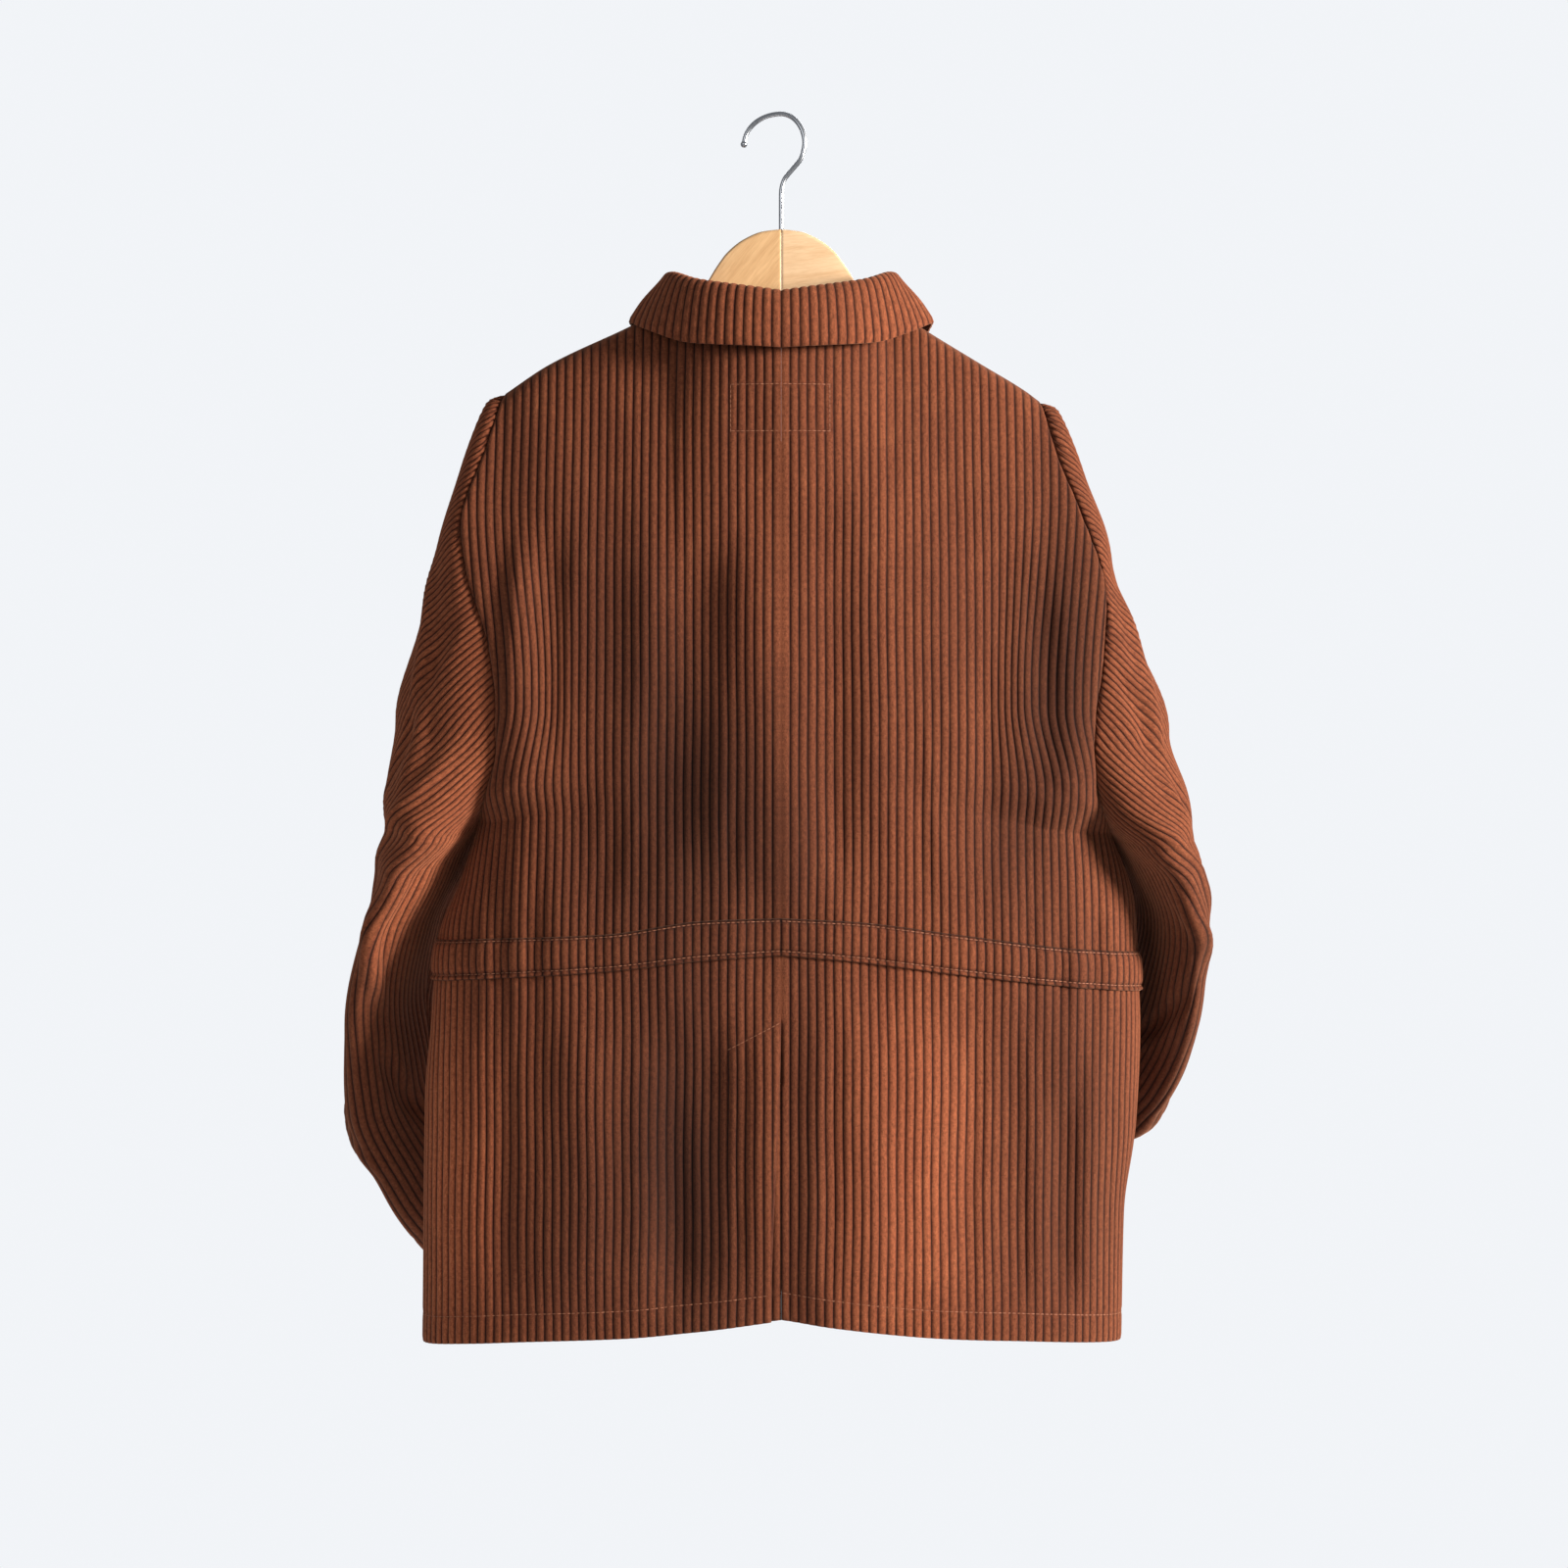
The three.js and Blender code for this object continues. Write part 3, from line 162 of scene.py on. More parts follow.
# Folds of the body: a line from (x, z) to (x2, z2), half its width, and its height, below 0 a
# trough. The last rows of each table are finer than the solids have.
FOLD_FADE = 60
FOLD_TOP = 0.2
FOLDS = {
    "back": table(
        "x z x2 z2 spread height",
        (-188, -300, -198, -470, 15, 5),
        (-164, -290, -172, -500, 18, -4),
        (-58, -300, -84, -570, 36, -6),
        (-230, -640, -232, -890, 24, 4),
        (-58, -650, -66, -890, 34, -6),
        (-142, -640, -150, -890, 36, 4),
        (62, -250, 78, -560, 40, 4),
        (186, -330, 196, -520, 20, -5),
        (88, -640, 84, -890, 40, 5),
        (204, -700, 204, -890, 16, -6),
        (229, -660, 224, -890, 14, 4),
        (-190, -300, -200, -486, 7, 2.6),
        (-208, -330, -214, -500, 12, -2.2),
        (-132, -320, -140, -600, 60, -7),
        (-4, -300, -4, -600, 56, 6),
        (160, -290, 168, -590, 48, -6),
        (46, -630, 42, -890, 44, 6),
        (164, -640, 168, -890, 50, -6),
        (-84, -640, -80, -890, 24, -4),
        (-6, -640, -6, -890, 46, 5),
        (-110, -470, -128, -600, 14, -1.6),
        (-30, -480, -40, -600, 10, -1.4),
        (36, -470, 44, -590, 12, -1.5),
        (104, -430, 116, -590, 12, 1.6),
        (146, -380, 152, -560, 14, -1.6),
        (-206, -500, -214, -640, 10, -2.0),
        (-24, -640, -30, -880, 9, -1.4),
        (40, -640, 34, -880, 12, -1.8),
        (140, -650, 134, -890, 12, -1.6),
        (178, -650, 186, -890, 10, 1.6),
        (-196, -660, -202, -890, 12, -1.8),
    ),
    "front": table(
        "x z x2 z2 spread height",
        (-176, -290, -184, -500, 20, -5),
        (-96, -330, -110, -860, 36, 5),
        (-170, -600, -160, -900, 30, -6),
        (180, -300, 186, -520, 20, -5),
        (100, -360, 92, -880, 36, 4),
        (168, -620, 176, -900, 28, -6),
        (-140, -420, -134, -700, 12, -1.6),
        (136, -460, 142, -760, 14, -1.8),
        (-60, -520, -66, -860, 12, -1.4),
        (62, -560, 58, -870, 12, 1.5),
        (-214, -640, -210, -890, 10, 1.8),
        (212, -660, 206, -880, 10, 1.6),
    ),
}
# Short puckers that run off a seam: where, the way they run from level, length, width, height
PUCKERS = table(
    "x z turn long wide height",
    (-200, -498, 40, 46, 9, 2.2),
    (-206, -520, 62, 40, 8, -1.8),
    (214, -500, 140, 44, 9, 2.2),
    (222, -524, 118, 40, 8, -1.8),
    (-236, -596, 88, 34, 8, 2.0),
    (-222, -598, 92, 30, 7, -1.6),
    (240, -604, 90, 34, 8, 2.0),
    (228, -600, 86, 30, 7, -1.6),
    (246, -664, 96, 40, 8, -2.0),
    (232, -668, 88, 34, 7, 1.6),
    (-240, -658, 86, 36, 8, -1.8),
)

# Painted shade, below 0, and painted light in the back's colour: a soft patch around (x, z),
# leaning sideways by so much for each millimetre down
PAINTED_LIGHT_AND_SHADE = table(
    "x z wide tall lean shade",
    (-76, -450, 72, 150, 0.34, -0.53),
    (-40, -540, 80, 80, 0, -0.20),
    (-130, -560, 46, 70, 0, -0.22),
    (-200, -420, 30, 130, 0, -0.10),
    (90, -400, 70, 120, 0, -0.10),
    (200, -420, 46, 140, -0.06, -0.62),
    (150, -540, 40, 60, 0, -0.20),
    (-66, -770, 46, 170, 0.08, -0.60),
    (-222, -780, 26, 130, 0, 0.32),
    (-140, -800, 66, 120, 0, -0.36),
    (-244, -770, 20, 130, 0, 1.40),
    (90, -770, 46, 150, 0, 0.62),
    (206, -760, 50, 150, 0, -0.42),
    (18, -760, 16, 160, 0, -0.36),
)
# how far the painted shade and light may darken or lighten the cloth's colour
PAINTED_LIGHT_RANGE = (-0.75, 1.2)
# Painted light, above 0, and painted shade, below 0, in the sleeves' colour, by length down them
SLEEVE_PAINTED_LIGHT_AND_SHADE = {
    "left": table("v shade", (0, 0.3), (330, 0.45), (430, -0.1), (640, -0.1)),
    "right": table("v shade", (0, 0), (280, 0), (400, -0.4), (640, -0.35)),
}
# Painted light in the collar's colour
COLLAR_PAINTED_LIGHT = 0.22

# Sleeves, as sections from the shoulder tip to the cuff
SLEEVE_ARMPIT = 0.46
SEAM_PULL = 6
SLEEVE_SETTLE = 0.08
SLEEVE_LONG = 640
SLEEVE_TWIST = {"slope": 1.15, "until": 0.60}  # wales wind forward as far down as this
SLEEVE_COLUMNS = "s row x y z out back tilt lean roll end"
SLEEVE = {
    "left": table(
        SLEEVE_COLUMNS,
        (0, 0, 205, 0, -206, 0, 0, 15, 0, 0, 90),
        (0.03, 0.025, 207, 0, -216, 11, 11, 15, 0, 0, 90),
        (0.09, 0.14, 221, 0, -262, 16, 27, 13, 0, 0, 90),
        (0.18, 0.3, 232, 0, -326, 22, 43, 12, 0, 0, 90),
        (0.27, 0.46, 213, 0, -390, 55, 56, 8, 0, 0, 90),
        (0.36, 0.625, 207, 3, -456, 78, 64, 7, 3, 0, 94),
        (0.42, 0.73, 244, 10, -494, 48, 76, 8, 8, 0, 125),
        (0.46, ARMPIT, 263, 18, -514, 31, 90, 10, 12, 0, 180),
        (0.51, ARMPIT, 263, 29, -546, 26, 91, 11, 13, 12, 180),
        (0.57, ARMPIT, 274, 44, -586, 21, 92, 12, 15, 15, 180),
        (0.68, ARMPIT, 289, 62, -655, 22, 84, 8, 18, 19, 180),
        (0.78, ARMPIT, 287, 78, -708, 24, 76, -8, 24, 24, 180),
        (0.89, ARMPIT, 263, 106, -762, 23, 68, -30, 24, 37, 180),
        (1, ARMPIT, 228, 126, -812, 22, 62, -36, 20, 60, 180),
    ),
    "right": table(
        SLEEVE_COLUMNS,
        (0, 0, 192, 0, -212, 0, 0, 15, 0, 0, 90),
        (0.03, 0.025, 194, 0, -222, 11, 11, 18, 0, 0, 90),
        (0.09, 0.14, 208, 0, -268, 16, 27, 13, 0, 0, 90),
        (0.18, 0.3, 229, 0, -333, 15, 43, 18, 0, 0, 90),
        (0.27, 0.46, 233, 0, -398, 31, 56, 12, 0, 0, 90),
        (0.36, 0.625, 226, 3, -464, 61, 64, 8, 3, 0, 94),
        (0.42, 0.73, 254, 10, -503, 46, 76, 8, 8, 0, 125),
        (0.46, ARMPIT, 278, 18, -522, 26, 90, 10, 12, 0, 180),
        (0.5, ARMPIT, 281, 27, -546, 24, 91, 9, 13, 8, 180),
        (0.56, ARMPIT, 286, 42, -580, 21, 92, 6, 15, 11, 180),
        (0.66, ARMPIT, 282, 64, -636, 21, 84, -10, 22, 14, 180),
        (0.77, ARMPIT, 260, 94, -684, 22, 76, -28, 25, 25, 180),
        (0.88, ARMPIT, 216, 118, -722, 22, 68, -40, 20, 48, 180),
        (1, ARMPIT, 176, 134, -758, 22, 62, -42, 16, 62, 180),
    ),
}
# Folds of the sleeves, by length round from the outside line to the back, and length down
SLEEVE_FOLDS = {
    "left": table(
        "u v u2 v2 spread height",
        (10, 110, 70, 290, 14, 4.2),
        (60, 150, 20, 330, 12, -3.8),
        (90, 230, 40, 380, 12, 3.8),
        (20, 350, 60, 470, 16, -4.8),
        (80, 330, 120, 430, 14, 4.8),
        (130, 300, 100, 400, 12, -3.8),
        (-40, 330, 10, 450, 14, 4.2),
        (30, 470, 90, 560, 14, 4.5),
        (-20, 450, 30, 560, 12, -4.2),
        (110, 440, 150, 560, 14, -4.5),
        (-90, 380, -60, 560, 18, 4.8),
        (-130, 320, -100, 470, 14, -4.2),
        (-60, 180, -20, 320, 14, -3.5),
    ),
    "right": table(
        "u v u2 v2 spread height",
        (20, 120, 60, 300, 14, 3.8),
        (70, 160, 30, 330, 12, -3.5),
        (100, 260, 60, 370, 12, 4.2),
        (120, 320, 70, 400, 14, 5.1),
        (20, 330, 70, 440, 16, -4.8),
        (90, 380, 140, 480, 14, -4.5),
        (-40, 330, 10, 450, 14, 4.2),
        (40, 460, 100, 570, 14, 4.2),
        (-30, 460, 20, 570, 12, -4.2),
        (-90, 380, -60, 560, 18, 4.8),
        (-130, 320, -100, 470, 14, -4.2),
        (-60, 180, -20, 320, 14, -3.5),
    ),
}

# Collar
COLLAR = table(
    "angle fold out edge", (0, -138, 15, -179), (45, -128, 19, -174), (75, -119, 28, -160),
    (90, -118, 34, -153), (115, -126, 34, -168), (145, -165, 28, -216), (172, -204, 22, -264))
COLLAR_END = 172
COLLAR_WALES = 90
COLLAR_WALL = 2.2
COLLAR_ROLL = 6
COLLAR_SEAT = 0.8
COLLAR_INSET = 0.9
COLLAR_BELLY = 1

# Waist casing: height of its face over the wales under it, from its top edge to its foot
CHANNEL_CLEAR = 0.25
CHANNEL_INSET = 4
CHANNEL_FACE = table(
    "share height", (0, 0.25), (0.035, 1.0), (0.07, 0.7), (0.16, 1.5), (0.5, 2.0),
    (0.8, 1.5), (0.87, 0.7), (0.93, 1.6), (0.98, 1.5), (1, 0.7))
CHANNEL_STITCHES = (0.07, 0.87)

BUTTON_RADIUS = 10
BUTTON_THICK = 3.4
BUTTON_LIFT = 0.6
BUTTON_FOOT = ((10, 0), (1.6, 0), (0.5, 0.4), (0, 1.2))  # in from its rim, and up from its foot
BUTTON_TOP = (  # in from its rim, and down from its top
    (0, 1.4), (0.3, 0.5), (1.0, 0.05), (1.8, 0), (2.5, 0.3), (3.1, 0.9), (3.8, 1.1), (10, 1.1))
# A near-black disc in each of a button's holes, painted shade in place of the hole
HOLE_SHADE_DISC = ((0, 0), (0.95, 0), (1.05, 0.12), (0.9, 0.2), (0, 0.2))  # radius and height
HOLE_APART = 1.7  # from the button's middle, each way
THREAD = ((-1.9, 0.1), (-1.2, 0.55), (0, 0.75), (1.2, 0.55), (1.9, 0.1))  # along, and height
THREAD_HALF = 0.55
BUTTON_HEIGHTS = (-285, -410, -535, -660, -785)

# Hanger and hook
WOOD_HALF = 6.5
WOOD_ROUND = 3.2
HANGER = table(
    "x top foot", (0, -84, -139), (14, -85.8, -139.5), (28, -91.7, -141), (40, -101.3, -144),
    (48, -112.1, -147), (56, -125, -152), (68, -138, -161))
ARM_ROOT = 84
ARM_CLEAR = {"root": 7, "tip": 5.2}
ARM_END = {"left": 200, "right": 187}
ARM_TALL = {"root": 25, "tip": 15}
ARM_TIP = 6  # length of the rounded end
ARM_KNOTS = 7
TIP_LEAST = 0.02
MITRE = {"wide": 0.8, "deep": 0.5, "past": 0.1}  # the eased edge where the halves meet
BEVEL_MOST = 0.9
BAR_CORNER = 6  # points round a corner of the bar
BAR_STEPS = {"from": 2, "bar": 110, "tip": 7}  # its first even section, and numbers of sections
WIRE = 3.6
HOOK_TALL = 22.5
HOOK_REACH = {"left": 27.5, "right": 17.5}
HOOK_RETURN = table("share drop", (0.86, 10), (0.45, 19), (0.1, 27), (0, 36))
HOOK_FOOT = -104
HOOK_BALL = 2.6
HOOK_STEPS = {"crook": 49, "shank": 70, "ball": 17}
HOOK_EASED = 6  # times that its route is smoothed
AROUND = {"wire": 20, "ball": 28, "button": 56, "hole": 18, "thread": 8}  # points of their rings


def smooth(t):
    c = np.clip(t, 0, 1)
    return c * c * (3 - 2 * c)


def curve(rows, key, column, at):
    """Value of a column at places in a table, by a smooth curve that never overshoots its rows."""
    k, v = rows[key], rows[column]
    if k[0] > k[-1]:
        k, v = k[::-1], v[::-1]
    at = np.clip(at, k[0], k[-1])
    chord = np.diff(v) / np.diff(k)
    slope = np.concatenate([chord[:1], np.zeros(len(k) - 2), chord[-1:]])
    a, b = chord[:-1], chord[1:]
    steady = a * b > 0
    slope[1:-1] = np.where(steady, 2 * a * b / np.where(steady, a + b, 1), 0)
    i = np.clip(np.searchsorted(k, at, side="right") - 1, 0, len(k) - 2)
    span = k[i + 1] - k[i]
    t = (at - k[i]) / span
    leave = (t**3 - 2 * t**2 + t) * span * slope[i]
    arrive = (t**3 - t**2) * span * slope[i + 1]
    ease = smooth(t)
    return v[i] * (1 - ease) + v[i + 1] * ease + leave + arrive


def ripple(seed, a, b, size_a, size_b, waves=7):
    """A smooth uneven field over two lengths, about -1 to 1, with waves of the sizes given."""
    rng = np.random.default_rng(seed)
    total = 0
    for _ in range(waves):
        wave_a = rng.uniform(*size_a)
        wave_b = rng.uniform(*size_b) * rng.choice((-1, 1))
        start = rng.uniform(0, 2 * math.pi)
        total = total + np.sin(2 * math.pi * (a / wave_a + b / wave_b) + start)
    return total / math.sqrt(waves)


def fold_height(folds, a, b, keys, fade):
    """Height of all the folds of a table together at places (a, b)."""
    ka, kb = keys
    height = np.zeros(np.broadcast(a, b).shape)
    for i in range(len(folds["height"])):
        a0, a1 = folds[ka][i], folds[ka + "2"][i]
        b0, b1 = folds[kb][i], folds[kb + "2"][i]
        along = (b - b0) / (b1 - b0)
        middle = a0 + (a1 - a0) * along
        across = np.clip(1 - ((a - middle) / folds["spread"][i]) ** 2, 0, 1)
        ends = np.minimum(along, 1 - along) * abs(b1 - b0) / fade
        height = height + folds["height"][i] * across**2 * smooth(ends)
    return height


def pucker_height(x, z):
    height = np.zeros(np.broadcast(x, z).shape)
    for i in range(len(PUCKERS["x"])):
        turn = math.radians(PUCKERS["turn"][i])
        dx, dz = x - PUCKERS["x"][i], z - PUCKERS["z"][i]
        along = dx * math.cos(turn) + dz * math.sin(turn)
        across = dz * math.cos(turn) - dx * math.sin(turn)
        reach = (along / (PUCKERS["long"][i] / 2)) ** 2 + (across / (PUCKERS["wide"][i] / 2)) ** 2
        height = height + PUCKERS["height"][i] * np.exp(-reach)
    return height


# Painted shade, below 0, and painted light of the back's colour at places (x, z)
def painted_shade_at(x, z):
    total = 0
    for i in range(len(PAINTED_LIGHT_AND_SHADE["x"])):
        drop = z - PAINTED_LIGHT_AND_SHADE["z"][i]
        across = (x - PAINTED_LIGHT_AND_SHADE["x"][i] + PAINTED_LIGHT_AND_SHADE["lean"][i] * drop) / PAINTED_LIGHT_AND_SHADE["wide"][i]
        total = total + PAINTED_LIGHT_AND_SHADE["shade"][i] * np.exp(-(across**2) - (drop / PAINTED_LIGHT_AND_SHADE["tall"][i]) ** 2)
    return np.clip(total, *PAINTED_LIGHT_RANGE)


# Body


def top_height(face, side, x):
    neck = curve(NECKLINE[face], "x", "z", x)
    return np.where(x < NECK_HALF, neck, curve(SHOULDER[side], "x", "z", x))


def row_height(face, side, x, row):
    """Height of a row of the body: 0 top edge, 1 and 2 the casing's edges, 3 hem."""
    top = top_height(face, side, x)
    upper = curve(CHANNEL_TOP, "x", side, x)
    lower = curve(CHANNEL_FOOT, "x", side, x)
    hem = curve(HEM, "x", "z", x)
    in_skirt = lower + (hem - lower) * (row - 2)
    in_casing = upper + (lower - upper) * (row - 1)
    return np.where(row <= 1, top + (upper - top) * row, np.where(row <= 2, in_casing, in_skirt))


def cloth_depth(face, x, drop):
    opening = NECK_DEPTH[face] * np.sqrt(np.clip(1 - (x / NECK_HALF) ** 2, 0, None))
    near = np.clip(drop / CAP, 0, 1)
    base = np.hypot(CAP * np.sqrt(1 - (1 - near) ** 2), opening)
    fall = 1 - (1 - np.clip(drop / DEPTH_DROP, 0, 1)) ** DEPTH_POWER
    return base + (FULL_DEPTH[face] - base) * fall


PLAN_STEPS = 240
EDGE_PASSES = 10
PLAN_TURN = (1 - np.cos(np.linspace(0, math.pi, PLAN_STEPS + 1))) * math.pi / 4
PLAN_OUT = np.clip(np.sin(PLAN_TURN), 0, 1) ** (2 / CORNER)
PLAN_ROUND = np.clip(np.cos(PLAN_TURN), 0, 1) ** (2 / CORNER)


def plan(face, side, rows):
    """For each row: its outer edge, half the armhole there, and the length along its cloth."""
    edge = np.full(len(rows), EDGE[side]["x"][0])
    for _ in range(EDGE_PASSES):
        edge = curve(EDGE[side], "z", "x", row_height(face, side, edge, rows))
    gape = SEAM / 2 + curve(ARMHOLE, "row", "gape", rows)
    drop = top_height(face, side, edge) - row_height(face, side, edge, rows)
    reach = np.clip(cloth_depth(face, edge, drop) - gape, 0, None)
    across = edge[:, None] * PLAN_OUT
    deep = reach[:, None] * PLAN_ROUND
    steps = np.hypot(np.diff(across), np.diff(deep))
    lengths = np.concatenate([np.zeros((len(rows), 1)), np.cumsum(steps, axis=1)], axis=1)
    return edge, gape, across, lengths


def cloth_length(face, side, rows):
    return plan(face, side, rows)[3][:, -1]


def gather_height(side, x, edge, z):
    above = z - curve(CHANNEL_TOP, "x", side, x)
    below = curve(CHANNEL_FOOT, "x", side, x) - z
    fade = np.exp(-np.clip(np.maximum(above, below), 0, None) / GATHER_FADE)
    reach = GATHER_REACH["from"] - GATHER_REACH["full"]
    near = smooth((x - edge + GATHER_REACH["from"]) / reach) * smooth((edge - x) / GATHER_REACH["end"])
    return GATHER * near * fade * np.sin(x / GATHER_PITCH * 2 * math.pi)


def body_point(face, side, u, rows):
    """Outside of a panel at the foot of the wales: u is the length of cloth from the centre."""
    edge, gape, across, lengths = plan(face, side, rows)
    held = np.clip(u, 0, lengths[:, -1:])
    x = np.array([np.interp(a, b, c) for a, b, c in zip(held, lengths, across)])
    out = np.array([np.interp(a, b, PLAN_ROUND) for a, b in zip(held, lengths)])
    x = np.where(u < 0, u, x)
    out = np.where(u <= 0, 1, out)
    edge, gape, row = edge[:, None], gape[:, None], rows[:, None]
    off = np.abs(x)
    z = row_height(face, side, off, row)
    depth = np.maximum(cloth_depth(face, off, top_height(face, side, off) - z), SEAM / 2)
    calm = 1 - np.clip(off / edge, 0, 1) ** CALM_POWER
    y = gape + (np.maximum(depth, gape) - gape) * out
    signed = SIDES[side] * x
    start = smooth(row / FOLD_TOP)
    y = y + fold_height(FOLDS[face], signed, z, "xz", FOLD_FADE) * calm * start
    uneven = RIPPLE * ripple(len(face), signed, z, BODY_RIPPLE["wide"], BODY_RIPPLE["tall"])
    if face == "back":
        y = y + gather_height(side, off, edge, z) * calm
        y = y + pucker_height(signed, z) * calm + uneven * calm * start
        below = smooth((row - VENT_TOP + VENT_SINK["above"]) / VENT_SINK["over"])
        opened = below * (1 - smooth(x / VENT_WIDTH))
        y = y - (VENT_DEPTH if side == "right" else 0) * opened
    else:
        lap = 1 - smooth((off - FRONT_OVERLAP) / LAYER_FADE)
        share = LAYER_TOP["share"] + (1 - LAYER_TOP["share"]) * smooth(row / LAYER_TOP["row"])
        y = y + LAYER_LIFT[side] * lap * share + uneven * calm * start * (1 - lap)
    return np.stack([signed, FACES[face] * y, z], axis=-1)


def unit(v):
    return v / np.maximum(np.linalg.norm(v, axis=-1, keepdims=True), 1e-12)


def body_normal(face, side, u, rows):
    du, dr = 1.0, 0.003
    cloth = cloth_length(face, side, rows)[:, None]
    at = np.minimum(u, cloth - du)
    across = body_point(face, side, at + du, rows) - body_point(face, side, at - du, rows)
    lower = body_point(face, side, at, np.minimum(rows + dr, 3))
    upper = body_point(face, side, at, np.maximum(rows - dr, 0))
    normal = np.cross(across, lower - upper) * SIDES[side] * FACES[face]
    first, last = (rows == 0)[:, None], (rows == 3)[:, None]
    normal[..., 2] = np.where(first | last, 0, normal[..., 2])
    normal[first & (u >= NECK_HALF)] = (0, 0, 1)
    normal[(u >= cloth) & ~first] = (SIDES[side], 0, 0)
    normal[(u >= cloth) & first] = (SIDES[side], 0, 1)
    if face == "back":
        normal[..., 0] = np.where(u == 0, 0, normal[..., 0])
    return unit(normal)


def wale_columns(first, last):
    wales = np.arange(math.floor(first / WALE) - 1, math.ceil(last / WALE) + 1)
    return ((wales[:, None] + PHASES) * WALE).ravel()


def plain_columns(first, last):
    ends = math.floor(first / PLAIN_STEP) - 1, math.ceil(last / PLAIN_STEP) + 2
    return np.arange(*ends) * PLAIN_STEP


def columns(plain, first, last):
    return plain_columns(first, last) if plain else wale_columns(first, last)


def hold(w, u0, u1):
    """Columns of each row within its ends; those that come too near an end move onto it."""
    u = np.where(w > u1 - SNAP, u1, w)
    return np.where(u < u0 + SNAP, u0, u)


def wale_profile(w):
    return 1 - np.abs(2 * np.mod(w / WALE, 1) - 1) ** ROUND


def seam_press(u, u0, u1, sewn=(True, True)):
    """Share of a wale's height left near the sewn ends of a row, and how far the cloth turns in."""
    near = np.minimum(np.where(sewn[0], u - u0, PRESS), np.where(sewn[1], u1 - u, PRESS))
    return smooth(near / PRESS), SEAM_TURN["deep"] * (1 - smooth(near / SEAM_TURN["wide"]))


def wale_light(wale, share):
    """What the material takes for a wale's height, which sets its painted light and shade: pressed cloth
    is painted less dark than a groove.
    """
    return wale + PRESSED_PAINTED_LIGHT * (1 - share)


def stitch_press(distance):
    return 1 - STITCH_PRESS["share"] * np.exp(-((distance / STITCH_PRESS["wide"]) ** 2))


def hem_turn(above):
    return HEM_TURN["deep"] * (1 - smooth(above / HEM_TURN["wide"]))


def laid(point, normal, height):
    """Points moved out along their normals."""
    return point + normal * np.broadcast_to(height, point.shape[:-1])[..., None]


def run_along(points):
    """Length from the first of a line of points to each."""
    return np.concatenate([[0], np.cumsum(np.linalg.norm(np.diff(points, axis=0), axis=1))])


def turns(around):
    """Angles of the points of a ring."""
    return np.arange(around) * 2 * math.pi / around


# Meshes

SHARP = math.radians(77)  # cut edges of the cloth are sharper than this, its grooves are not


def strip(one, two, flip, first_one, first_two):
    """Triangles between two lines of points that run side by side."""

    def share(line):
        run = run_along(line)
        return run / (run[-1] or 1)

    s, t = share(one), share(two)
    i, j = 0, 0
    faces = []
    while i + 1 < len(one) or j + 1 < len(two):
        step_one = j + 1 >= len(two) or (i + 1 < len(one) and s[i + 1] <= t[j + 1])
        near = (first_one[i], first_two[j])
        ahead = first_one[i + 1] if step_one else first_two[j + 1]
        faces.append((near[0], near[1], ahead) if flip else (near[0], ahead, near[1]))
        i, j = (i + 1, j) if step_one else (i, j + 1)
    return faces


def skin(index, flip):
    a, b = index[:-1, :-1].ravel(), index[:-1, 1:].ravel()
    d, e = index[1:, :-1].ravel(), index[1:, 1:].ravel()
    if flip:
        return np.concatenate([np.stack([a, b, e], 1), np.stack([a, e, d], 1)])
    return np.concatenate([np.stack([a, e, b], 1), np.stack([a, d, e], 1)])


def add_mesh(name, places, faces, attributes=None):
    """An object from points in millimetres and triangles, with values at its points."""
    keys = np.round(places * 1e4).astype(np.int64)
    _, first, same = np.unique(keys, axis=0, return_index=True, return_inverse=True)
    same = same.reshape(-1)
    faces = same[np.asarray(faces)]
    a, b, c = faces.T
    faces = faces[(a != b) & (b != c) & (c != a)]
    places = places[first]
    corners = places[faces]
    volume = np.einsum("ij,ij->i", corners[:, 0], np.cross(corners[:, 1], corners[:, 2])).sum()
    if volume < 0:
        faces = faces[:, ::-1]
    mesh = bpy.data.meshes.new(name)
    mesh.vertices.add(len(places))
    mesh.vertices.foreach_set("co", (places * MM).astype(np.float32).ravel())
    mesh.loops.add(faces.size)
    mesh.loops.foreach_set("vertex_index", faces.astype(np.int32).ravel())
    mesh.polygons.add(len(faces))
    mesh.polygons.foreach_set("loop_start", np.arange(0, faces.size, 3, dtype=np.int32))
    mesh.update(calc_edges=True)
    mesh.validate()
    for key, values in (attributes or {}).items():
        flat = np.ascontiguousarray(values[first], np.float32)
        if flat.ndim == 1:
            mesh.attributes.new(key, "FLOAT", "POINT").data.foreach_set("value", flat)
        else:
            mesh.attributes.new(key, "FLOAT_VECTOR", "POINT").data.foreach_set("vector", flat.ravel())
    mesh.shade_smooth()
    mesh.set_sharp_from_angle(angle=SHARP)
    piece = bpy.data.objects.new(name, mesh)
    bpy.context.scene.collection.objects.link(piece)
    return piece


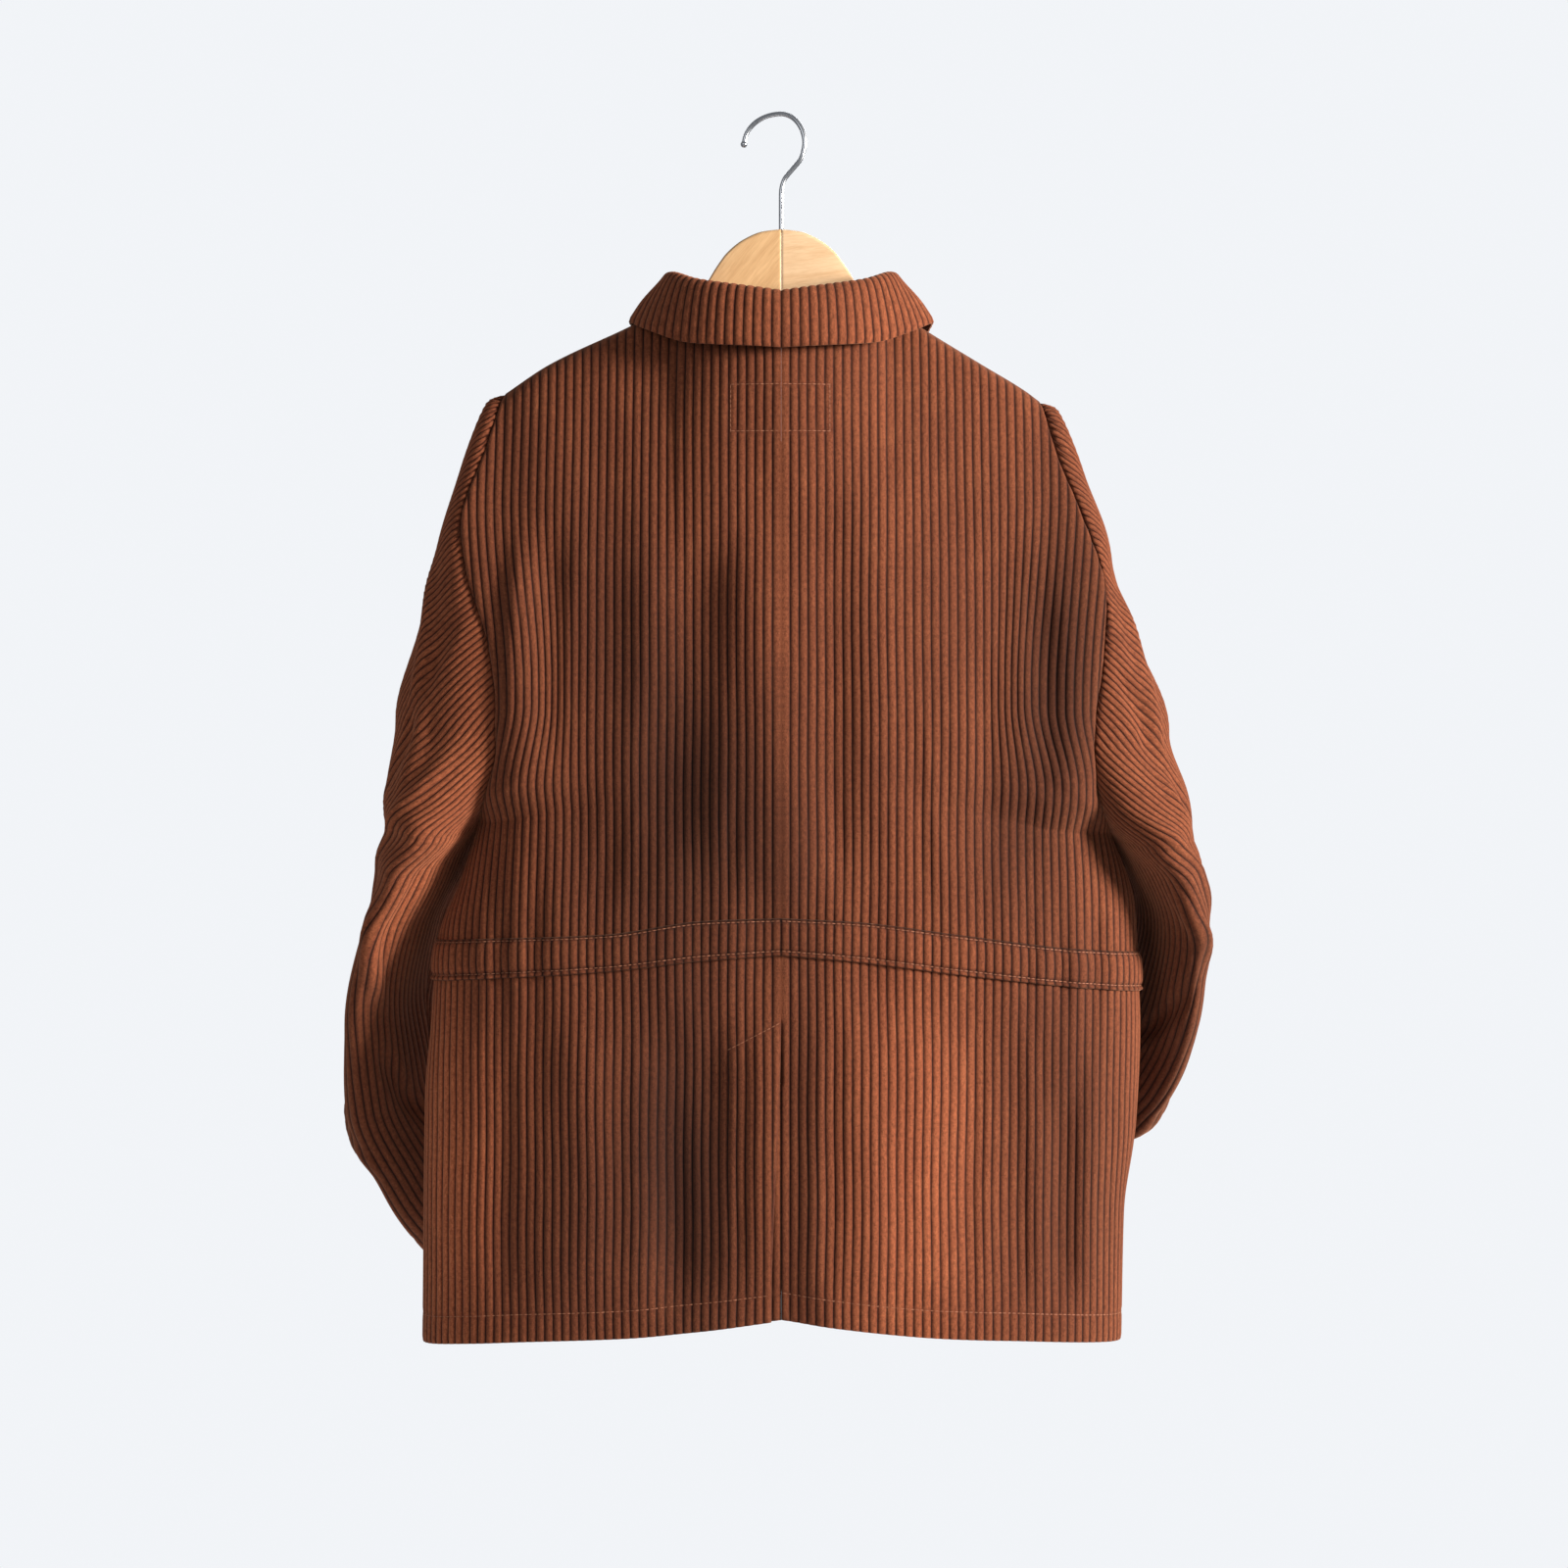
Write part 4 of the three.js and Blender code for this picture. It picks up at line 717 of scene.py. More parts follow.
def wall(name, outer, inner, joined=None):
    """A closed cloth wall. outer and inner are grids of points with their values."""
    grids = [outer["point"], inner["point"]]
    sizes = [g.shape[0] * g.shape[1] for g in grids]
    index = [np.arange(sizes[0]).reshape(grids[0].shape[:2]),
             sizes[0] + np.arange(sizes[1]).reshape(grids[1].shape[:2])]
    faces = [skin(index[0], False), skin(index[1], True)]
    ends = min(len(index[0]), len(index[0]) if joined is None else joined + 1)
    borders = [
        (np.s_[0, :], False), (np.s_[-1, :], True),
        (np.s_[:ends, 0], True), (np.s_[:ends, -1], False)]
    for cut, flip in borders:
        faces.append(np.array(strip(
            grids[0][cut], grids[1][cut], flip, index[0][cut], index[1][cut])))
    places = np.concatenate([g.reshape(-1, 3) for g in grids])
    values = {
        key: np.concatenate([grid[key].reshape(size, -1) for grid, size in zip((outer, inner), sizes)])
        for key in ("wale", "shade", "cloth")}
    for key in ("wale", "shade"):
        values[key] = values[key][:, 0]
    return add_mesh(name, places, np.concatenate(faces), values)


def cloth_values(shape, wale, u, v, inside, shade=0):
    """What the corduroy material reads: wale height, painted shade and light, and the place on the
    cloth.
    """
    whole = [np.broadcast_to(x, shape) for x in (wale, u, v, shade)]
    return {"wale": whole[0].copy(), "shade": whole[3].copy(),
            "cloth": np.stack([whole[1], whole[2], np.full(shape, float(inside))], axis=-1)}


# Panels

UPPER_ROWS = 118
SKIRT_ROWS = 76
CASING_ROWS = 6
LAP_ROWS = 50
CAP_ROWS = 7
CAP_SHARE = 0.03  # of the upper rows, where the cloth bends over the hanger


def body_rows():
    bend = CAP_SHARE * (1 - np.cos(np.linspace(0, math.pi / 2, CAP_ROWS + 1)))
    upper = np.linspace(CAP_SHARE, 1, UPPER_ROWS)[1:]
    casing = np.linspace(1, 2, CASING_ROWS)[1:]
    skirt = np.linspace(2, 3, SKIRT_ROWS)[1:]
    rows = np.concatenate([bend, upper, casing, skirt])
    return np.unique(np.append(rows, ARMPIT))


def wander(side, u, u0, u1, z):
    away = smooth((np.minimum(u - u0, u1 - u) - PRESS) / WOBBLE["fade"])
    field = ripple(WOBBLE["seed"], SIDES[side] * u, z, WOBBLE["wide"], WOBBLE["tall"])
    return WOBBLE["most"] * away * field


def drag(face, side, w, rows):
    """Sideways pull on the wales beside the armholes, towards the armpits."""
    z = row_height(face, side, np.minimum(np.abs(w), EDGE[side]["x"].max()), rows)
    pulled = smooth((DRAG["top"] - z) / DRAG["over"]) * smooth((z - DRAG["foot"]) / DRAG["under"])
    return -DRAG["most"] * pulled * smooth((w - DRAG["from"]) / DRAG["fade"])


def panel(name, face, side, rows, start, stop=math.inf, extra=None):
    cloth = cloth_length(face, side, rows)
    u0 = np.broadcast_to(start(rows), cloth.shape)[:, None]
    u1 = np.minimum(cloth, stop)[:, None]
    whole = face == "back" and stop == math.inf
    made = {}
    for plain in (False, True):
        w = columns(plain, u0.min(), u1.max() + DRAG["most"])
        u = hold(w[None, :] + drag(face, side, w[None, :], rows[:, None]), u0, u1)
        z = row_height(face, side, np.abs(u), rows[:, None])
        moved = u + wander(side, u, u0, u1, z)
        point = body_point(face, side, moved, rows)
        normal = body_normal(face, side, moved, rows)
        if plain:
            height, lit = -WALL, INSIDE_PAINTED_LIGHT
        else:
            runs_on = (face == "back") & (side == "right") & (rows[:, None] > VENT_ROW)
            left, turned = seam_press(u, u0, u1, (~runs_on | (stop != math.inf), stop == math.inf))
            ridge = 0
            if whole:
                sewn_up = (1 - smooth((rows[:, None] - VENT_TOP) / CENTRE_SEAM["ends"])) * (u < WALE)
                ridge = np.exp(-(((u - u0) / CENTRE_SEAM["wide"]) ** 2)) * sewn_up
                turned = turned * (1 - sewn_up) - CENTRE_SEAM["high"] * ridge
            first = smooth(rows[:, None] / RISE)
            hem = curve(HEM, "x", "z", np.abs(point[..., 0]))
            sewn = stitch_press(point[..., 2] - hem - HEM_STITCH) if rows[-1] == 3 else 1
            share = left * first * sewn
            if extra is not None:
                share = share * extra(point)
            wale = share * wale_profile(w)[None, :]
            lit = np.maximum(wale_light(wale, share), CENTRE_SEAM["light"] * ridge)
            height = RIB * wale - turned - hem_turn(point[..., 2] - hem)
        point = laid(point, normal, height)
        if whole:
            point[..., 0] += np.where(u == 0, SIDES[side] * SEAM / 2, 0)
        if plain:
            cut = (rows[:, None] == 0) & (u < NECK_HALF)
            point[..., 2] -= np.where(cut, NECK_BEVEL, 0)
        # painted shade and light in the back's colour
        shade = painted_shade_at(point[..., 0], point[..., 2]) if face == "back" else 0
        made[plain] = {"point": point, **cloth_values(u.shape, lit, w, -point[..., 2], plain, shade)}
    return wall(name, made[False], made[True])


PATCH = {"left": -36.6, "right": 35.0, "top": -204.5, "foot": -238.9}  # a sewn rectangle
VENT_SEAM = {"x": 1.5, "z": -664, "x2": -37, "z2": -684}  # slanting stitches at the vent's top


def to_segment(x, z, ax, az, bx, bz):
    """Distance of places from a straight line between two points."""
    dx, dz = bx - ax, bz - az
    t = np.clip(((x - ax) * dx + (z - az) * dz) / (dx * dx + dz * dz), 0, 1)
    return np.hypot(x - ax - t * dx, z - az - t * dz)


def back_stitch_lines():
    left, right, top, foot = PATCH.values()
    return [
        (left, top, right, top), (left, foot, right, foot),
        (left, top, left, foot), (right, top, right, foot),
        tuple(VENT_SEAM.values())]


def back_press(point):
    share = 1
    for line in back_stitch_lines():
        share = share * stitch_press(to_segment(point[..., 0], point[..., 2], *line))
    return share


# Sleeves

SLEEVE_STEPS = 160


def sleeve_section(side, s):
    """A section of a sleeve: its centre, the angle of its ends, and points at angles."""
    at = {column: float(curve(SLEEVE[side], "s", column, s)) for column in SLEEVE_COLUMNS.split()}
    tilt, lean, roll = (math.radians(at[key]) for key in ("tilt", "lean", "roll"))
    way = SIDES[side]
    centre = np.array([way * at["x"], at["y"], at["z"]])
    tilted = np.array([way * math.cos(tilt), 0, math.sin(tilt)])
    leant = np.array([0, -math.cos(lean), -math.sin(lean)])
    out = (tilted * math.cos(roll) - leant * math.sin(roll)) * at["out"]
    back = (leant * math.cos(roll) + tilted * math.sin(roll)) * at["back"]
    end = math.pi if s > SLEEVE_ARMPIT else math.radians(at["end"])

    def oval(angle):
        angle = np.asarray(angle, float)[..., None]
        return centre + out * np.cos(angle) + back * np.sin(angle)

    row = np.array([min(at["row"], ARMPIT)])
    kept = 1 - float(smooth((s - SLEEVE_ARMPIT) / SLEEVE_SETTLE))
    pulls = {}
    for half, face in ((1, "back"), (-1, "front")):
        edge, gape, _, _ = plan(face, side, row)
        z = row_height(face, side, edge, row)[0]
        seam = np.array([way * (edge[0] + SLEEVE_TUCK), -half * (gape[0] - SEAM / 2), z])
        pulls[half] = (seam - oval(half * end)) * kept

    def point(angle):
        pulled = (np.abs(angle) / end)[..., None] ** SEAM_PULL
        return oval(angle) + np.where(angle[..., None] < 0, pulls[-1], pulls[1]) * pulled

    return point, centre, end


def sleeve_run(side, s):
    """Angles round a section and the length of cloth to each, 0 on the outside line."""
    point, _, end = sleeve_section(side, s)
    angle = np.linspace(-end, end, 2 * SLEEVE_STEPS + 1)
    run = run_along(point(angle))
    return angle, run - run[SLEEVE_STEPS]


def sleeve_twist(v):
    """How far the wales have wound forward at a length down the sleeve."""
    until = SLEEVE_TWIST["until"] * SLEEVE_LONG
    t = np.clip(v / until, 0, 1)
    return SLEEVE_TWIST["slope"] * until * (t - t**3 / 3)


SLEEVE_ROWS = 128
SLEEVE_HEAD = 0.03  # rows lie closer above this share of the length
SLEEVE_CALM = {"seam": 24, "head": 40, "wales": 5}  # folds and wales begin this far from an edge
SLEEVE_FOLD_FADE = 40
UNDERARM_TURN = 0.6  # of a seam's turn, where the sleeve is closed to a tube
SLOPE_STEP = {"turn": 0.03, "down": 0.006, "within": 0.99}  # between points that give a normal


def sleeve_skin(side, s, u, run):
    """Points and normals of one section at lengths u round it."""
    place, centre, end = sleeve_section(side, s)
    closed = end >= math.pi
    angle = np.interp(u, run[1], run[0])
    angle = np.where(closed & (u <= run[1][0]), math.pi, angle)
    point = place(angle)
    if s == 0:
        return point, np.broadcast_to(unit(np.array([SIDES[side], 0, 1.0])), point.shape)
    low, high = angle - SLOPE_STEP["turn"], angle + SLOPE_STEP["turn"]
    if closed:
        low = np.mod(low + math.pi, 2 * math.pi) - math.pi
        high = np.mod(high + math.pi, 2 * math.pi) - math.pi
    else:
        low, high = np.maximum(low, -end), np.minimum(high, end)
    apart = SLOPE_STEP["down"]
    before, _, end_before = sleeve_section(side, max(s - apart, apart))
    after, _, end_after = sleeve_section(side, min(s + apart, 1))
    share = np.clip(angle / end, -SLOPE_STEP["within"], SLOPE_STEP["within"])
    down = after(share * end_after) - before(share * end_before)
    out = unit(np.cross(place(high) - place(low), down))
    facing = np.sum(out * (point - centre), axis=-1, keepdims=True)
    return point, np.where(facing < 0, -out, out)


def sleeve(name, side):
    s_rows = np.unique(np.concatenate([
        np.linspace(0, SLEEVE_HEAD, 5), np.linspace(SLEEVE_HEAD, 1, SLEEVE_ROWS), [SLEEVE_ARMPIT]]))
    runs = [sleeve_run(side, s) for s in s_rows]
    u0 = np.array([run[0] for _, run in runs])[:, None]
    u1 = np.array([run[-1] for _, run in runs])[:, None]
    v = s_rows[:, None] * SLEEVE_LONG
    cuff = SLEEVE_LONG - v
    made = {}
    for plain in (False, True):
        shift = 0 * v if plain else -sleeve_twist(v)
        w = columns(plain, (u0 - shift).min(), (u1 - shift).max())
        u = hold(w[None, :] + shift, u0, u1)
        skins = [sleeve_skin(side, *row) for row in zip(s_rows, u, runs)]
        point, normal = (np.array(part) for part in zip(*skins))
        near = np.minimum(u - u0, u1 - u)
        calm = smooth(near / SLEEVE_CALM["seam"]) * smooth(v / SLEEVE_CALM["head"])
        height = fold_height(SLEEVE_FOLDS[side], u, v, "uv", SLEEVE_FOLD_FADE) * calm
        seed = SLEEVE_RIPPLE["seed"] + len(side)
        uneven = ripple(seed, u, v, SLEEVE_RIPPLE["wide"], SLEEVE_RIPPLE["tall"])
        height = height + RIPPLE * uneven * calm
        if plain:
            height, lit = height - WALL, INSIDE_PAINTED_LIGHT
        else:
            left, turned = seam_press(u, u0, u1)
            turned = turned * np.where(s_rows[:, None] < SLEEVE_ARMPIT, 1, UNDERARM_TURN)
            share = left * smooth(v / SLEEVE_CALM["wales"]) * stitch_press(cuff - HEM_STITCH)
            wale = share * wale_profile(w)[None, :]
            lit = wale_light(wale, share)
            height = height + RIB * wale - turned - hem_turn(cuff)
        point = laid(point, normal, height)
        # painted light and shade in the sleeve's colour
        shade = curve(SLEEVE_PAINTED_LIGHT_AND_SHADE[side], "v", "shade", v)
        made[plain] = {"point": point, **cloth_values(u.shape, lit, w, v, plain, shade)}
    joined = int(np.searchsorted(s_rows, SLEEVE_ARMPIT))
    return wall(name, made[False], made[True], joined)


# Collar

COLLAR_LEVELS = 5  # between two corners of its profile
COLLAR_STEPS = 1200  # places round the neck where its length is measured
# Shares of the profile over which the wales rise and the rim turns in, and how far it does
COLLAR_EDGE = {"seat": 0.06, "rim": 0.035, "deep": 1.0, "ends": 0.8}
COLLAR_TALL = 60  # length of its cloth, for the pile


def neck_place(angle):
    turn = np.radians(angle)
    back = np.abs(angle) < 90
    depth = np.where(back, NECK_DEPTH["back"], NECK_DEPTH["front"])
    x, y = NECK_HALF * np.sin(turn), -depth * np.cos(turn)
    tops = [top_height(face, "left", np.abs(x)) for face in ("back", "front")]
    top = np.where(back, *tops)
    out = unit(np.stack([x / NECK_HALF**2, y / depth**2], axis=-1))
    return x, y, top + COLLAR_SEAT, out


def collar_profile(angle):
    """Points of the collar's profile at angles: distance out from the neck seam, and height."""
    x, y, seat, out = neck_place(angle)
    fold, edge_out, edge = (
        curve(COLLAR, "angle", key, np.abs(angle)) for key in ("fold", "out", "edge"))
    shoulder = fold - COLLAR_ROLL
    outside = 2 * COLLAR_ROLL - COLLAR_INSET
    belly = (outside + edge_out) / 2 + COLLAR_BELLY, (shoulder + edge) / 2 + COLLAR_BELLY
    corners = np.array([
        np.broadcast_arrays(away, height, angle)[:2] for away, height in (
            (-COLLAR_INSET, seat), (-COLLAR_INSET, shoulder), (COLLAR_ROLL - COLLAR_INSET, fold),
            (outside, shoulder), belly, (edge_out, edge))]).transpose(0, 2, 1)
    before = np.concatenate([2 * corners[:1] - corners[1:2], corners[:-1]])
    after = np.concatenate([corners[1:], 2 * corners[-1:] - corners[-2:-1]])
    slope = (after - before) / 2
    levels = []
    for i in range(len(corners) - 1):
        for t in np.arange(COLLAR_LEVELS) / COLLAR_LEVELS:
            ease = t * t * (3 - 2 * t)
            levels.append(
                corners[i] * (1 - ease) + corners[i + 1] * ease
                + (t**3 - 2 * t**2 + t) * slope[i] + (t**3 - t**2) * slope[i + 1])
    levels.append(corners[-1])
    profile = np.array(levels)
    ahead = np.gradient(profile, axis=0)
    facing = unit(np.stack([-ahead[..., 1], ahead[..., 0]], axis=-1))

    def spread(pair, with_seat):
        level = np.empty(pair.shape[:2] + (3,))
        level[..., :2] = out * pair[..., :1]
        level[..., 2] = pair[..., 1]
        if with_seat:
            level[..., 0] += x
            level[..., 1] += y
        return level

    return spread(profile, True), spread(facing, False)


def collar(name):
    fine = np.linspace(-COLLAR_END, COLLAR_END, COLLAR_STEPS)
    run = run_along(collar_profile(fine)[0][-COLLAR_LEVELS])
    made = {}
    for plain in (False, True):
        wales = np.arange(COLLAR_WALES)
        phases = np.array([0.0]) if plain else PHASES
        share = np.append(((wales[:, None] + phases) / COLLAR_WALES).ravel(), 1.0)
        angle = np.interp(share * run[-1], run, fine)
        point, normal = collar_profile(angle)
        levels = np.arange(len(point))[:, None] / (len(point) - 1)
        w = share * COLLAR_WALES * WALE
        end = np.minimum(share, 1 - share)[None, :] * run[-1]
        if plain:
            height, wale = -COLLAR_WALL / 2, INSIDE_PAINTED_LIGHT
        else:
            wale = smooth(levels / COLLAR_EDGE["seat"]) * smooth(end / PRESS)
            wale = wale_profile(w)[None, :] * wale
            edge = 1 - smooth((1 - levels) / COLLAR_EDGE["rim"])
            height = COLLAR_WALL / 2 + RIB * wale - COLLAR_EDGE["deep"] * edge
            height = height - COLLAR_EDGE["ends"] * (1 - smooth(end / HEM_TURN["wide"]))
        point = laid(point, normal, height)
        # the collar's colour is painted lighter
        values = cloth_values(point.shape[:2], wale, w, COLLAR_TALL * levels, plain, COLLAR_PAINTED_LIGHT)
        made[plain] = {"point": point, **values}
    return wall(name, made[False], made[True])


# Waist casing

CASING_LEVELS = np.unique(np.concatenate([
    np.linspace(0, 1, 15), [0.02, 0.035, 0.07, 0.1, 0.84, 0.87, 0.9, 0.95, 0.98]]))
CASING_TALL = 28
CASING_EDGE = {"top": 0.05, "foot": 0.03}  # shares of its height over which the wales rise
CASING_ENDS = 0.4  # of its face's height, where it is sewn down at the sides
CASING_BACK = 0.2  # how far the inside lies under its clearance


def casing(name):
    made = {}
    rows = 1 + CASING_LEVELS
    for plain in (False, True):
        parts = []
        for side in ("left", "right"):
            limit = cloth_length("back", side, rows)[:, None] - CHANNEL_INSET
            w = columns(plain, 0, limit.max())
            w = w[w >= 0]
            u = np.where(w[None, :] > limit - SNAP, limit, w[None, :])
            z = row_height("back", side, u, rows[:, None])
            moved = u + wander(side, u, 0 * limit, limit + CHANNEL_INSET, z)
            point = body_point("back", side, moved, rows)
            normal = body_normal("back", side, moved, rows)
            if plain:
                height, wale = RIB + CHANNEL_CLEAR - CASING_BACK, INSIDE_PAINTED_LIGHT
            else:
                face = curve(CHANNEL_FACE, "share", "height", CASING_LEVELS)[:, None]
                ends = smooth((limit - u) / PRESS)
                level = CASING_LEVELS[:, None]
                left = smooth(level / CASING_EDGE["top"]) * smooth((1 - level) / CASING_EDGE["foot"])
                for line in CHANNEL_STITCHES:
                    left = left * stitch_press((level - line) * CASING_TALL)
                wale = wale_profile(w)[None, :] * ends * left
                face = face * (CASING_ENDS + (1 - CASING_ENDS) * ends)
                height = RIB + CHANNEL_CLEAR + face + RIB * wale
            point = laid(point, normal, height)
            # painted shade and light in the casing's colour
            shade = painted_shade_at(point[..., 0], point[..., 2])
            values = cloth_values(u.shape, wale, SIDES[side] * w, -point[..., 2], plain, shade)
            parts.append({"point": point, **values})
        left, right = parts
        made[plain] = {
            key: np.concatenate([left[key][:, :0:-1], right[key]], axis=1) for key in left}
    return wall(name, made[False], made[True])


# Stitches

STITCH = {"pitch": 3.6, "long": 2.9, "wide": 0.75, "flat": 0.8, "proud": 0.15}
STITCH_RINGS = ((-0.5, 0.35), (0, 1), (0.5, 0.35))  # share of its length, and of its width
STITCH_AROUND = 5
LINE_STEP = 0.8  # between points of a line of stitches


def stitch_boxes(points, normals):
    """Small spindles along a line that lies on the cloth."""
    run = run_along(points)
    at = np.arange(STITCH["pitch"] / 2, run[-1], STITCH["pitch"])
    if not len(at):
        return np.empty((0, 3)), np.empty((0, 3), int)

    def sample(values, where):
        return np.stack([np.interp(where, run, values[:, i]) for i in range(3)], axis=-1)

    centre = sample(points, at)
    ahead = unit(sample(points, at + LINE_STEP) - sample(points, at - LINE_STEP))
    up = unit(sample(normals, at))
    side = unit(np.cross(ahead, up))
    around = STITCH_AROUND
    parts = []
    for along, thick in STITCH_RINGS:
        for angle in turns(around):
            off = up * math.cos(angle) * STITCH["flat"] + side * math.sin(angle)
            parts.append(centre + ahead * along * STITCH["long"] + off * STITCH["wide"] / 2 * thick)
    places = np.stack(parts, axis=1)
    faces = []
    for ring in range(len(STITCH_RINGS) - 1):
        for k in range(around):
            a, b = ring * around + k, ring * around + (k + 1) % around
            faces += [(a, b, b + around), (a, b + around, a + around)]
    last = (len(STITCH_RINGS) - 1) * around
    for k in range(1, around - 1):
        faces += [(0, k + 1, k), (last, last + k, last + k + 1)]
    count = places.shape[1]
    faces = np.array(faces)[None] + (np.arange(len(at)) * count)[:, None, None]
    return places.reshape(-1, 3), faces.reshape(-1, 3)


def stitches(name, lines):
    places, faces, start = [], [], 0
    for points, normals in lines:
        p, f = stitch_boxes(points, normals)
        places.append(p)
        faces.append(f + start)
        start += len(p)
    return add_mesh(name, np.concatenate(places), np.concatenate(faces))


def body_line(face, side, u, rows, height):
    """A line on a panel at lengths u and rows, raised over the foot of the wales."""
    point = body_point(face, side, u[:, None], rows)[:, 0]
    normal = body_normal(face, side, u[:, None], rows)[:, 0]
    return laid(point, normal, height), normal


ROW_STEPS = {"line": 1201, "button": 3001}  # rows tried, from the top edge to the hem


def row_at(face, side, x, z, steps=ROW_STEPS["line"]):
    """Row of a panel at places given by distance from the centre plane and height."""
    rows = np.linspace(0, 3, steps)
    return np.array([np.interp(-b, -row_height(face, side, np.full(rows.shape, a), rows), rows)
                     for a, b in zip(x, z)])


def length_at(face, side, x, rows):
    _, _, across, lengths = plan(face, side, rows)
    return np.array([np.interp(a, b, c) for a, b, c in zip(x, across, lengths)])


def sewn_height(u):
    left = 1 - STITCH_PRESS["share"]
    return RIB * left * wale_profile(u) + STITCH["proud"]


# The hem's stitches start this far from the vent's edges and the fronts' edges, and stop this
# far from the side seams
HEM_LINE = {"vent_left": 3, "vent_right": 1, "front": 2, "side": 3}


def hem_line(face, side, first):
    cloth = float(cloth_length(face, side, np.array([3.0]))[0])
    u = np.linspace(first, cloth - HEM_LINE["side"], int((cloth - first) / LINE_STEP))
    x = np.abs(body_point(face, side, u[:, None], np.full(len(u), 3.0))[:, 0, 0])
    foot, hem = curve(CHANNEL_FOOT, "x", side, x), curve(HEM, "x", "z", x)
    return body_line(face, side, u, 3 - HEM_STITCH / (foot - hem), sewn_height(u))


FLAT_LINE = {"step": 0.7, "centre": 0.8, "fewest": 3}  # points: apart, from the centre, a part's


def flat_line(ax, az, bx, bz):
    """A straight line across the back, in one or two parts, by height and signed distance."""
    lines = []
    for side in ("left", "right"):
        way = SIDES[side]
        steps = np.linspace(0, 1, int(math.hypot(bx - ax, bz - az) / FLAT_LINE["step"]) + 2)
        x, z = (ax + (bx - ax) * steps) * way, az + (bz - az) * steps
        kept = x >= FLAT_LINE["centre"]
        if kept.sum() < FLAT_LINE["fewest"]:
            continue
        x, z = x[kept], z[kept]
        rows = row_at("back", side, x, z)
        u = length_at("back", side, x, rows)
        lines.append(body_line("back", side, u, rows, sewn_height(u)))
    return lines


CASING_LINE = {"centre": 0.5, "end": 2}  # its stitches start and stop this far from the ends


def casing_lines():
    lines = []
    for side in ("left", "right"):
        limit = float(cloth_length("back", side, np.array([1.5]))[0]) - CHANNEL_INSET
        limit = limit - CASING_LINE["end"]
        u = np.linspace(CASING_LINE["centre"], limit, int(limit / LINE_STEP))
        for share in CHANNEL_STITCHES:
            face = float(curve(CHANNEL_FACE, "share", "height", share))
            height = RIB + CHANNEL_CLEAR + face + sewn_height(u)
            lines.append(body_line("back", side, u, np.full(len(u), 1 + share), height))
    return lines


# Solid pieces


def loft(name, rings):
    """A closed body through rings of equal numbers of points."""
    rings = np.array(rings)
    count, around = rings.shape[:2]
    index = np.arange(count * around).reshape(count, around)
    wrapped = np.concatenate([index, index[:, :1]], axis=1)
    faces = [skin(wrapped, False)]
    for ring, flip in ((index[0], True), (index[-1], False)):
        fan = np.stack([np.full(around - 2, ring[0]), ring[1:-1], ring[2:]], axis=1)
        faces.append(fan[:, ::-1] if flip else fan)
    return add_mesh(name, rings.reshape(-1, 3), np.concatenate(faces))


def between(ends, share):
    return ends["root"] + (ends["tip"] - ends["root"]) * share


def bar_ring(x, middle, half, tall):
    """A section of the hanger's bar, with rounded corners."""
    bevel = min(WOOD_ROUND, BEVEL_MOST * half, BEVEL_MOST * tall)
    ring = []
    for cy, cz, first in ((1, 1, 0), (-1, 1, 90), (-1, -1, 180), (1, -1, 270)):
        for turn in np.radians(first + np.linspace(0, 90, BAR_CORNER)):
            y = cy * (half - bevel) + bevel * math.cos(turn)
            ring.append((x, y, middle + cz * (tall - bevel) + bevel * math.sin(turn)))
    return ring


def hanger_half(name, side):
    end = ARM_END[side]
    arm = np.linspace(ARM_ROOT, end, ARM_KNOTS)
    share = (arm - ARM_ROOT) / (end - ARM_ROOT)
    arm_top = top_height("back", side, arm) - between(ARM_CLEAR, share)
    arm_foot = arm_top - between(ARM_TALL, share)
    shape = {
        "x": np.append(HANGER["x"], arm),
        "top": np.append(HANGER["top"], arm_top),
        "foot": np.append(HANGER["foot"], arm_foot)}
    tip_start = end - ARM_TIP
    stations = np.concatenate([
        [SEAM / 2, MITRE["wide"] + MITRE["past"]],
        np.linspace(BAR_STEPS["from"], tip_start, BAR_STEPS["bar"]),
        tip_start + ARM_TIP * np.sin(np.linspace(0, math.pi / 2, BAR_STEPS["tip"]))[1:]])
    rings = []
    for at in stations:
        top, foot = (float(curve(shape, "x", key, at)) for key in ("top", "foot"))
        past = max(at - tip_start, 0) / ARM_TIP
        shrink = math.sqrt(max(1 - past**2, TIP_LEAST))
        inset = MITRE["deep"] * max(1 - (at - SEAM / 2) / MITRE["wide"], 0)
        half, tall = WOOD_HALF * shrink - inset, (top - foot) / 2 * shrink - inset
        rings.append(bar_ring(SIDES[side] * at, (top + foot) / 2, half, tall))
    return loft(name, rings)


